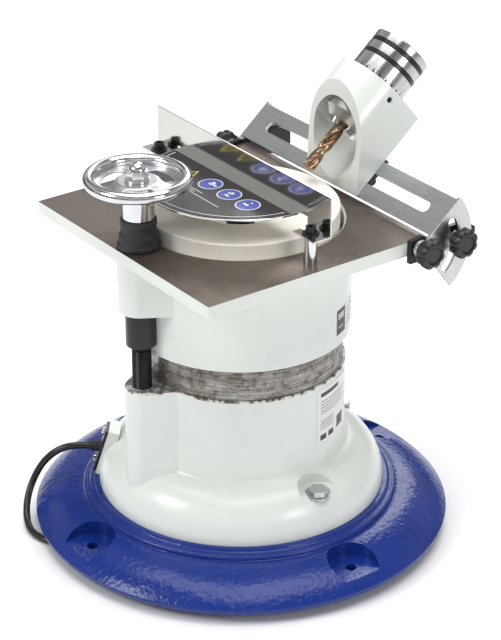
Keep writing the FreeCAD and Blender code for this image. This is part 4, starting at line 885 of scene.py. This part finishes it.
# ---------------------------------------------------------------- feed screw and handwheel
@dataclass
class Feed:
    """Screw that lifts the table, with its pressed handwheel."""

    palette: Palette
    rim: float = 5.7 * MM
    thread_radius: float = 9.5 * MM
    pitch: float = 2.5 * MM
    collar_low: float = 226 * MM
    collar_high: float = 262.6 * MM
    collar_radius: float = 14.7 * MM
    window_circle: float = 28 * MM
    window_half: float = 6.5 * MM
    window_sweep: float = 46.0

    def axle(self) -> Axle:
        """Upright axle of the screw, from the floor."""
        place = Vector(joint("handwheel_turn")["pos_m"])
        return Axle(Vector((place.x, place.y, 0)), Vector((0, 0, 1)), Vector((1, 0, 0)))

    def screw(self) -> None:
        """Threaded shank with its thrust collar."""
        low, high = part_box("table_screw")
        axle = self.axle()
        sheet = Sheet()
        rings = []
        step = self.pitch / 8
        count = int((self.collar_low - 5 * MM - low.z) / step)

        def crest(level: float) -> Callable[[float], float]:
            """Radius round the thread at one level."""
            def radius(turn: float) -> float:
                """Radius at one turn."""
                share = (level / self.pitch - turn / (2 * math.pi)) % 1.0
                return self.thread_radius - 1.3 * MM * abs(2 * share - 1) ** 1.5
            return radius

        for number in range(count + 1):
            level = low.z + number * step
            rings.append(axle.ring(level, crest(level), 48))
        sheet.rings(rings, capped=True)
        neck = rounded([
            (self.collar_low - 6 * MM, 6 * MM), (self.collar_low - 6 * MM, self.thread_radius - 0.8 * MM),
            (self.collar_low - 4 * MM, self.thread_radius), (self.collar_low, self.collar_radius),
            (self.collar_high, self.collar_radius), (self.collar_high, 10 * MM), (high.z - 18 * MM, 10 * MM),
            (high.z - 18 * MM, 6 * MM), (high.z, 6 * MM),
        ], 0.7 * MM)
        sheet.rings([axle.ring(d, r, 48) for d, r in neck], capped=True)
        sheet.build("feed_screw", "screw", Slot.BLACK, [self.palette.black_steel], ["table_screw"])

    def handwheel(self) -> None:
        """Rolled rim, dished web with three kidney windows, and the hub sleeve."""
        low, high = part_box("handwheel")
        centre = self.axle()
        plane = high.z - self.rim
        outer = (high.x - low.x) / 2
        sheet = Sheet()
        middle = outer - self.rim
        rim = [
            (plane + self.rim * math.sin(turn), middle + self.rim * math.cos(turn))
            for turn in (2 * math.pi * k / 28 for k in range(28))
        ]
        sheet.rings([centre.ring(d, r, 120) for d, r in rim], closed=True)
        tube = rounded([
            (low.z, 10.2 * MM), (low.z, 15 * MM), (plane - 6 * MM, 15 * MM), (plane - 6 * MM, 10.2 * MM),
        ], 0.6 * MM)
        sheet.rings([centre.ring(d, r, 96) for d, r in tube], closed=True)
        sheet.build("handwheel_rim", "screw", Slot.CHROME, [self.palette.chrome], ["handwheel"])
        self.web(centre, plane, middle)

    def web(self, centre: Axle, plane: float, middle: float) -> None:
        """Dished plate between hub and rim, with windows."""
        def dish(radius: float) -> float:
            """Height of the plate at a radius."""
            t = (radius - 19 * MM) / (middle - 19 * MM)
            return plane - 2 * MM - (3.4 * MM * math.sin(math.pi * min(1.0, max(0.0, t))) if t > 0 else 0.0)

        def solid(radius: float, turn: float) -> bool:
            """True where the plate isn't cut."""
            for start in (90, 210, 330):
                off = (math.degrees(turn) - start + 180) % 360 - 180
                beyond = max(0.0, abs(off) - self.window_sweep / 2)
                gap = math.hypot(radius - self.window_circle, self.window_circle * math.radians(beyond))
                if gap < self.window_half:
                    return False
            return True

        radii = [6 * MM + k * (middle - 6 * MM - 1 * MM) / 40 for k in range(41)]
        count = 216
        sheet = Sheet()
        turns = [2 * math.pi * k / count for k in range(count)]
        sheet.points = [centre.at(dish(r), r, t) for r in radii for t in turns]
        for row in range(len(radii) - 1):
            for k in range(count):
                n = (k + 1) % count
                if solid((radii[row] + radii[row + 1]) / 2, turns[k] + math.pi / count):
                    a, b = row * count, (row + 1) * count
                    sheet.add((a + k, a + n, b + n, b + k))
        piece = sheet.build("handwheel_web", "screw", Slot.CHROME, [self.palette.brushed])
        piece.modifiers.clear()
        thick = piece.modifiers.new("thick", "SOLIDIFY")
        thick.thickness = 1.6 * MM
        thick.offset = 0
        soft = piece.modifiers.new("soft", "SUBSURF")
        soft.levels = soft.render_levels = 1

    def dress(self) -> None:
        """Finish the nut."""
        dress("handwheel_nut", self.palette.chrome, 0.7 * MM)


# ---------------------------------------------------------------- fence, knobs, holder and chuck
@dataclass
class Fence:
    """Tilting fence with its knobs."""

    palette: Palette
    knob_radius: float = 14.5 * MM
    lobes: int = 8

    def dress(self) -> None:
        """Finish the fence."""
        dress("fence_plate", self.palette.zinc, 0.5 * MM)

    def knob(self, node: str, body: str) -> None:
        """Lobed knob with a rounded edge and a recessed cap.

        Args:
            node: The knob's node.
            body: Body that carries it.
        """
        low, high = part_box(node)
        outward = 1.0 if low.x > 0 else -1.0
        start = low.x if outward > 0 else high.x
        middle = Vector((start, (low.y + high.y) / 2, (low.z + high.z) / 2))
        axle = Axle(middle, Vector((outward, 0, 0)), Vector((0, 1, 0)))
        length = high.x - low.x

        def lobed(size: float, share: float) -> Callable[[float], float]:
            """Radius with lobes of a given strength."""
            def radius(turn: float) -> float:
                """Radius at one turn."""
                wave = 0.5 - 0.5 * math.cos(self.lobes * turn)
                return size - share * 1.9 * MM * (1 - wave) ** 2.2
            return radius

        full = self.knob_radius
        steps: list[tuple[float, float, float]] = [
            (0.0, 8.6 * MM, 0.0), (0.2 * MM, 9.4 * MM, 0.0),
            (3.2 * MM, 9.5 * MM, 0.0), (3.8 * MM, 10.5 * MM, 0.2),
            (4.4 * MM, full - 1.2 * MM, 0.9), (5.2 * MM, full - 0.3 * MM, 1.0), (6.6 * MM, full, 1.0),
            (length - 3.4 * MM, full, 1.0), (length - 1.8 * MM, full - 0.5 * MM, 1.0),
            (length - 0.7 * MM, full - 1.5 * MM, 0.9), (length, full - 3.2 * MM, 0.5),
            (length, 9.6 * MM, 0.0),
            (length - 0.2 * MM, 8.8 * MM, 0.0), (length - 1.6 * MM, 8.4 * MM, 0.0),
            (length - 1.9 * MM, 7.6 * MM, 0.0), (length - 1.5 * MM, 7.2 * MM, 0.0),
            (length - 1.4 * MM, 3.0 * MM, 0.0), (length - 1.4 * MM, 0.3 * MM, 0.0),
        ]
        sheet = Sheet()
        sheet.rings([axle.ring(d, lobed(r, s), 128) for d, r, s in steps], capped=True)
        sheet.build(node + "_cap", body, Slot.PLASTIC, [self.palette.plastic], [node])

    def knobs(self) -> None:
        """All four knobs."""
        for side, short in (("right", "r"), ("left", "l")):
            self.knob("pivot_knob_" + side, "pivot_knob_" + short)
            self.knob("clamp_knob_" + side, "clamp_knob_" + short)


@dataclass
class Chuck:
    """Drill holder, chuck and drill."""

    palette: Palette
    drill_radius: float = 6.2 * MM
    point_angle: float = 118.0
    lead: float = 62 * MM
    flute_end: float = 78 * MM
    overhang: float = 94.8 * MM
    drill_length: float = 124.8 * MM
    notch_start: float = 112.9 * MM
    notch_depth: float = 6.4 * MM
    notch_radius: float = 29.5 * MM
    axis_datum: float = 100 * MM
    tilt: float = 40.0
    pivot_y: float = 99 * MM
    pivot_z: float = 321 * MM
    mouth: tuple[tuple[float, float], ...] = ((15.4 * MM, 2.4 * MM), (88.4 * MM, 78.9 * MM))
    mouth_round: float = 4.0 * MM
    edge_share: float = 0.22
    flute_depth: float = 0.66
    land_relief: float = 0.035
    notch_wall: float = 1.2 * MM

    def dress(self) -> None:
        """Finish the holder's and the chuck's nodes."""
        kit = self.palette
        self.soften_holder()
        dress("lock_screw", kit.black_steel)
        dress("slide_key", kit.black_steel, 0.5 * MM)
        dress("key_screws", kit.black_steel, 0.4 * MM)
        dress("chuck_body", kit.steel, 0.6 * MM)
        dress("chuck_sleeve", kit.knurled, 0.25 * MM)
        dress("grip_bands", kit.black_steel, 0.3 * MM)
        dress("chuck_cap", kit.steel, 0.6 * MM)
        for number in (1, 2, 3):
            dress("chuck_jaw_%d" % number, kit.steel, 0.4 * MM)

    def teeth(self) -> None:
        """Dark ring behind the sleeve's key notches."""
        axle = joint_axle("chuck_turn")
        low = self.notch_start - self.axis_datum
        high = low + self.notch_depth
        inner = self.notch_radius - self.notch_wall
        outline = [(low, inner), (low, self.notch_radius), (high, self.notch_radius), (high, inner)]
        sheet = axle.lathe(outline, 96, closed=True)
        sheet.build("notch_shadow", "sleeve", Slot.BLACK, [self.palette.black_steel])

    def soften_holder(self) -> None:
        """Broad rounding round the holder's mouth, and small edges elsewhere."""
        piece = paint_node("drill_holder", self.palette.white)
        turn = math.radians(self.tilt)
        weights = piece.data.attributes.new("bevel_weight_edge", "FLOAT", "EDGE")
        pivot = Vector((0, self.pivot_y, self.pivot_z))
        (foot_s, foot_h), (top_s, top_h) = self.mouth
        run = Vector((top_s - foot_s, top_h - foot_h))

        def on_mouth(place: Vector) -> bool:
            """True for a point of the mouth's plane."""
            gap = place - pivot
            s = gap.y * math.cos(turn) + gap.z * math.sin(turn)
            h = gap.z * math.cos(turn) - gap.y * math.sin(turn)
            off = ((s - foot_s) * run.y - (h - foot_h) * run.x) / run.length
            return abs(off) < 0.4 * MM and h > foot_h + 1.5 * MM

        points = piece.data.vertices
        for edge in piece.data.edges:
            ends = [points[number].co for number in edge.vertices]
            weights.data[edge.index].value = 1.0 if all(on_mouth(end) for end in ends) else self.edge_share
        soft = soften(piece, self.mouth_round, 4)
        soft.limit_method = "WEIGHT"
        soft.use_clamp_overlap = True

    def drill(self) -> None:
        """Twist drill with two flutes and a ground point."""
        found = joint_axle("chuck_turn")
        axle = Axle(found.origin - found.along * self.overhang, found.along, found.side)
        slope = math.tan(math.radians(self.point_angle / 2))

        def section(distance: float) -> Callable[[float], float]:
            """Radius round the drill at a distance from its tip."""
            fade = min(1.0, max(0.0, (self.flute_end - distance) / (10 * MM)))
            limit = distance * slope + 0.05 * MM

            def radius(turn: float) -> float:
                """Radius at one turn."""
                phase = (turn - 2 * math.pi * distance / self.lead) % math.pi
                u = abs(phase - math.pi / 2) / (math.pi / 2)
                t = min(1.0, max(0.0, (u - 0.10) / 0.44))
                depth = 1 - t * t * (3 - 2 * t)
                relief = self.land_relief if 0.62 < u < 0.93 else 0.0
                return min(limit, self.drill_radius * (1 - fade * (self.flute_depth * depth + relief)))
            return radius

        steps = [0.0, 0.4, 0.9, 1.5, 2.1, 2.8, 3.4, 3.8] + [4.4 + 0.9 * k for k in range(134)]
        places = [step * MM for step in steps if step * MM < self.drill_length] + [self.drill_length]
        sheet = Sheet()
        sheet.rings([axle.ring(d, section(d), 96) for d in places], capped=True)
        sheet.build("drill_bit", "chuck", Slot.BRONZE, [self.palette.bronze], ["twist_drill"])


# ---------------------------------------------------------------- mains lead
@dataclass
class Lead:
    """Mains cord, its put-away coil, grommet and plug."""

    palette: Palette
    radius: float = 3.5 * MM
    length: float = 1.74
    coil_x: float = -216 * MM
    coil_y: float = 158 * MM
    coil_start: float = 46.0
    coil_turns: float = 4.43
    route: tuple[tuple[float, float, float], ...] = (
        (-0.0862, -0.1104, 0.0720), (-0.0986, -0.1262, 0.0738), (-0.1120, -0.1425, 0.0690),
        (-0.1225, -0.1555, 0.0545), (-0.1265, -0.1665, 0.0355), (-0.1210, -0.1780, 0.0195),
        (-0.1060, -0.1890, 0.0070), (-0.0845, -0.1965, 0.0035), (-0.0600, -0.1925, 0.0035),
        (-0.0400, -0.1755, 0.0035), (-0.0310, -0.1450, 0.0035), (-0.0340, -0.1060, 0.0035),
        (-0.0280, -0.0580, 0.0035), (-0.0380, -0.0080, 0.0035), (-0.0660, 0.0360, 0.0035),
        (-0.0920, 0.0840, 0.0035), (-0.1340, 0.1220, 0.0035), (-0.1640, 0.1630, 0.0035),
    )
    tail: tuple[tuple[float, float, float], ...] = ((-0.2410, 0.1110, 0.0140),)

    def coil(self) -> list[tuple[float, float, float]]:
        """Control points of the coil: two turns on the floor, two on them and part of one on top."""
        rows = ((43.0, 3.5), (36.0, 3.5), (36.0, 10.5), (43.0, 10.5), (39.5, 17.0))
        per_turn = 16
        inset = (1 + math.cos(math.pi / per_turn)) / 2 - 0.004
        points = []
        for number in range(int(self.coil_turns * per_turn) + 1):
            turn = number / per_turn
            row = min(int(turn), len(rows) - 1)
            blend = min(1.0, (turn - row) / 0.2)
            blend = blend * blend * (3 - 2 * blend)
            before = rows[max(0, row - 1)]
            reach = before[0] + (rows[row][0] - before[0]) * blend
            level = before[1] + (rows[row][1] - before[1]) * blend
            angle = math.radians(self.coil_start) + 2 * math.pi * turn
            points.append((
                self.coil_x + reach / inset * MM * math.cos(angle),
                self.coil_y + reach / inset * MM * math.sin(angle), level * MM,
            ))
        return points

    def cord(self) -> None:
        """The cord from the grommet through the coil to the plug."""
        curve = bpy.data.curves.new("mains_lead", "CURVE")
        curve.dimensions = "3D"
        curve.bevel_depth = self.radius
        curve.bevel_resolution = 6
        curve.use_fill_caps = True
        points = [*self.route, *self.coil(), *self.tail]
        spline = curve.splines.new("NURBS")
        spline.points.add(len(points) - 1)
        for point, place in zip(spline.points, points):
            point.co = (*place, 1.0)
        spline.order_u = 3
        spline.use_endpoint_u = True
        spline.resolution_u = 8
        curve.materials.append(self.palette.vinyl)
        piece = bpy.data.objects.new("mains_lead", curve)
        bpy.context.scene.collection.objects.link(piece)
        register(piece, "base", ["mains_cord", "cord_coil"])
        plug = self.plug()
        grommet = self.grommet()

    def grommet(self) -> bpy.types.Object:
        """Ribbed strain relief where the cord comes out."""
        start, second = Vector(self.route[0]), Vector(self.route[1])
        run = (second - start).normalized()
        axle = Axle(start, run, run.cross(Vector((0, 0, 1))).normalized())
        outline: Outline = [(-10 * MM, 3.55 * MM), (-10 * MM, 6.2 * MM), (0.5 * MM, 5.9 * MM)]
        for rib in range(4):
            base = (1.2 + 2.6 * rib) * MM
            size = (5.7 - 0.2 * rib) * MM
            outline += [
                (base, size), (base + 1.5 * MM, size), (base + 1.7 * MM, size - 0.8 * MM),
                (base + 2.4 * MM, size - 0.8 * MM),
            ]
        outline += [(11.8 * MM, 4.6 * MM), (11.8 * MM, 3.55 * MM)]
        return axle.lathe(rounded(outline, 0.4 * MM, 2), 40, closed=True).build(
            "strain_relief", "base", Slot.RUBBER, [self.palette.rubber], ["cord_grommet"])

    def plug(self) -> bpy.types.Object:
        """Two-pin plug with a ribbed neck."""
        last = Vector(self.tail[-1])
        heading = Vector((0.342, -0.940, 0)).normalized()
        side = Vector((-heading.y, heading.x, 0))
        axle = Axle(last, heading, side)

        def squashed(wide: float, tall: float) -> Callable[[float], float]:
            """Radius of an oval section."""
            def radius(turn: float) -> float:
                """Radius at one turn."""
                return 1 / math.sqrt((math.cos(turn) / wide) ** 2 + (math.sin(turn) / tall) ** 2)
            return radius

        sheet = Sheet()
        steps = [(0.0, 3.7, 3.7), (0.3, 5.2, 5.2)]
        for rib in range(4):
            base = 1.2 + 2.6 * rib
            size = 5.6 + 0.75 * rib
            rises = ((0.0, 0.0), (1.4, 0.2), (1.7, -1.0), (2.3, -0.8))
            steps += [(base + run, size + rise, size + rise) for run, rise in rises]
        steps += [
            (12.0, 9.0, 8.6), (14.0, 12.4, 10.6), (17.0, 13.7, 12.2), (26.0, 13.8, 13.0), (34.0, 13.9, 13.6),
            (37.2, 13.4, 13.2), (37.9, 12.0, 12.0), (38.0, 10.0, 10.0), (38.0, 0.4, 0.4),
        ]
        sheet.rings([axle.ring(d * MM, squashed(w * MM, t * MM), 64) for d, w, t in steps], capped=True)
        for offset in (-9.5, 9.5):
            pin = Axle(last + side * offset * MM, heading, side)
            outline = [(37.5, 2.4), (55.0, 2.4), (56.4, 1.9), (56.9, 0.8)]
            sheet.rings([pin.ring(d * MM, r * MM, 24) for d, r in outline], capped=True, paint=1)
        return sheet.build(
            "plug_top", "base", Slot.PLASTIC, [self.palette.plastic, self.palette.chrome], ["mains_plug"])


# ---------------------------------------------------------------- studio
@dataclass
class Studio:
    """Floor, lights, surroundings and camera."""

    eye: tuple[float, float, float] = (1.67031, -1.21318, 1.26544)
    target: tuple[float, float, float] = (0.00561, 0.00765, 0.21565)
    lens: float = 134.1
    sensor: float = 36.0

    def camera(self) -> None:
        """Camera at the view's angle."""
        data = bpy.data.cameras.new("camera")
        data.lens = self.lens
        data.sensor_width = self.sensor
        data.clip_end = 100.0
        camera = bpy.data.objects.new("camera", data)
        bpy.context.scene.collection.objects.link(camera)
        camera.location = self.eye
        look = Vector(self.target) - Vector(self.eye)
        camera.rotation_mode = "QUATERNION"
        camera.rotation_quaternion = look.to_track_quat("-Z", "Y")
        bpy.context.scene.camera = camera

    def floor(self) -> None:
        """Plain pale floor."""
        shader = Shader("pale_floor")
        cloud = shader.noise(1.5, 3.0)
        colour = shader.mix((0.92, 0.92, 0.92), (0.90, 0.90, 0.90), cloud)
        material = shader.surface(colour, 0.75, 0.0, 0.0, shader.noise(200.0), 0.00002, 0.2)
        sheet = Sheet()
        size = 12.0
        sheet.patch([Vector((x * size, y * size, -0.0002)) for x, y in ((-1, -1), (1, -1), (1, 1), (-1, 1))])
        mesh = bpy.data.meshes.new("floor")
        mesh.from_pydata([tuple(point) for point in sheet.points], [], sheet.faces)
        mesh.materials.append(material)
        floor = bpy.data.objects.new("floor", mesh)
        bpy.context.scene.collection.objects.link(floor)

    def light(self, name: str, place: tuple[float, float, float], size: float, power: float) -> None:
        """Soft square lamp aimed at the machine."""
        data = bpy.data.lights.new(name, "AREA")
        data.size = size
        data.energy = power
        lamp = bpy.data.objects.new(name, data)
        bpy.context.scene.collection.objects.link(lamp)
        lamp.location = place
        lamp.rotation_mode = "QUATERNION"
        lamp.rotation_quaternion = (Vector((0, 0, 0.25)) - Vector(place)).to_track_quat("-Z", "Y")

    def surroundings(self) -> None:
        """Bright tent with darker gaps that bright metal reflects."""
        world = bpy.data.worlds.new("tent")
        bpy.context.scene.world = world
        world.use_nodes = True
        tree = world.node_tree
        tree.nodes.clear()
        place = tree.nodes.new("ShaderNodeTexCoord")
        parts = tree.nodes.new("ShaderNodeSeparateXYZ")
        tree.links.new(place.outputs["Generated"], parts.inputs[0])
        ramp = tree.nodes.new("ShaderNodeValToRGB")
        tree.links.new(parts.outputs[2], ramp.inputs[0])
        stops = ((0.0, 0.55), (0.08, 0.25), (0.18, 0.45), (0.34, 1.05), (0.62, 0.70), (1.0, 0.85))
        elements = ramp.color_ramp.elements
        while len(elements) < len(stops):
            elements.new(0.5)
        for element, (spot, grey) in zip(elements, stops):
            element.position = spot
            element.color = (grey, grey, grey * 1.01, 1.0)
        wave = tree.nodes.new("ShaderNodeTexNoise")
        wave.inputs["Scale"].default_value = 1.7
        wave.inputs["Detail"].default_value = 0.0
        tree.links.new(place.outputs["Generated"], wave.inputs["Vector"])
        gaps = tree.nodes.new("ShaderNodeMapRange")
        gaps.interpolation_type = "SMOOTHSTEP"
        for key, value in (("From Min", 0.47), ("From Max", 0.40), ("To Min", 1.0), ("To Max", 0.25)):
            gaps.inputs[key].default_value = value
        tree.links.new(wave.outputs["Fac"], gaps.inputs["Value"])
        shade = tree.nodes.new("ShaderNodeVectorMath")
        shade.operation = "SCALE"
        tree.links.new(ramp.outputs[0], shade.inputs[0])
        tree.links.new(gaps.outputs[0], shade.inputs["Scale"])
        back = tree.nodes.new("ShaderNodeBackground")
        back.inputs["Strength"].default_value = 0.62
        out = tree.nodes.new("ShaderNodeOutputWorld")
        tree.links.new(shade.outputs[0], back.inputs[0])
        tree.links.new(back.outputs[0], out.inputs[0])

    def lights(self) -> None:
        """Key from the left, fill from the right and a soft top."""
        self.light("key", (-0.60, -2.60, 2.10), 1.1, 38.0)
        self.light("fill", (2.60, 0.40, 1.30), 0.8, 15.0)
        self.light("top", (0.00, 0.20, 4.00), 3.6, 150.0)
        self.light("rim", (-1.80, 2.00, 1.80), 1.2, 18.0)


def main() -> None:
    """Build everything in order."""
    logging.basicConfig(level=logging.INFO, format="%(name)s: %(message)s")
    bpy.context.scene.view_settings.view_transform = "Standard"
    palette = Palette()
    studio = Studio()
    studio.camera()
    Lead(palette).cord()
    stand = Stand(palette)
    stand.dress()
    stand.motor()
    Wheel(palette).dress()
    table = Table(palette)
    table.dress()
    table.boot()
    table.guard_print()
    table.prints()
    feed = Feed(palette)
    feed.screw()
    feed.handwheel()
    feed.dress()
    fence = Fence(palette)
    fence.dress()
    fence.knobs()
    chuck = Chuck(palette)
    chuck.dress()
    chuck.teeth()
    chuck.drill()
    studio.floor()
    studio.surroundings()
    studio.lights()


if __name__ == "__main__":
    main()
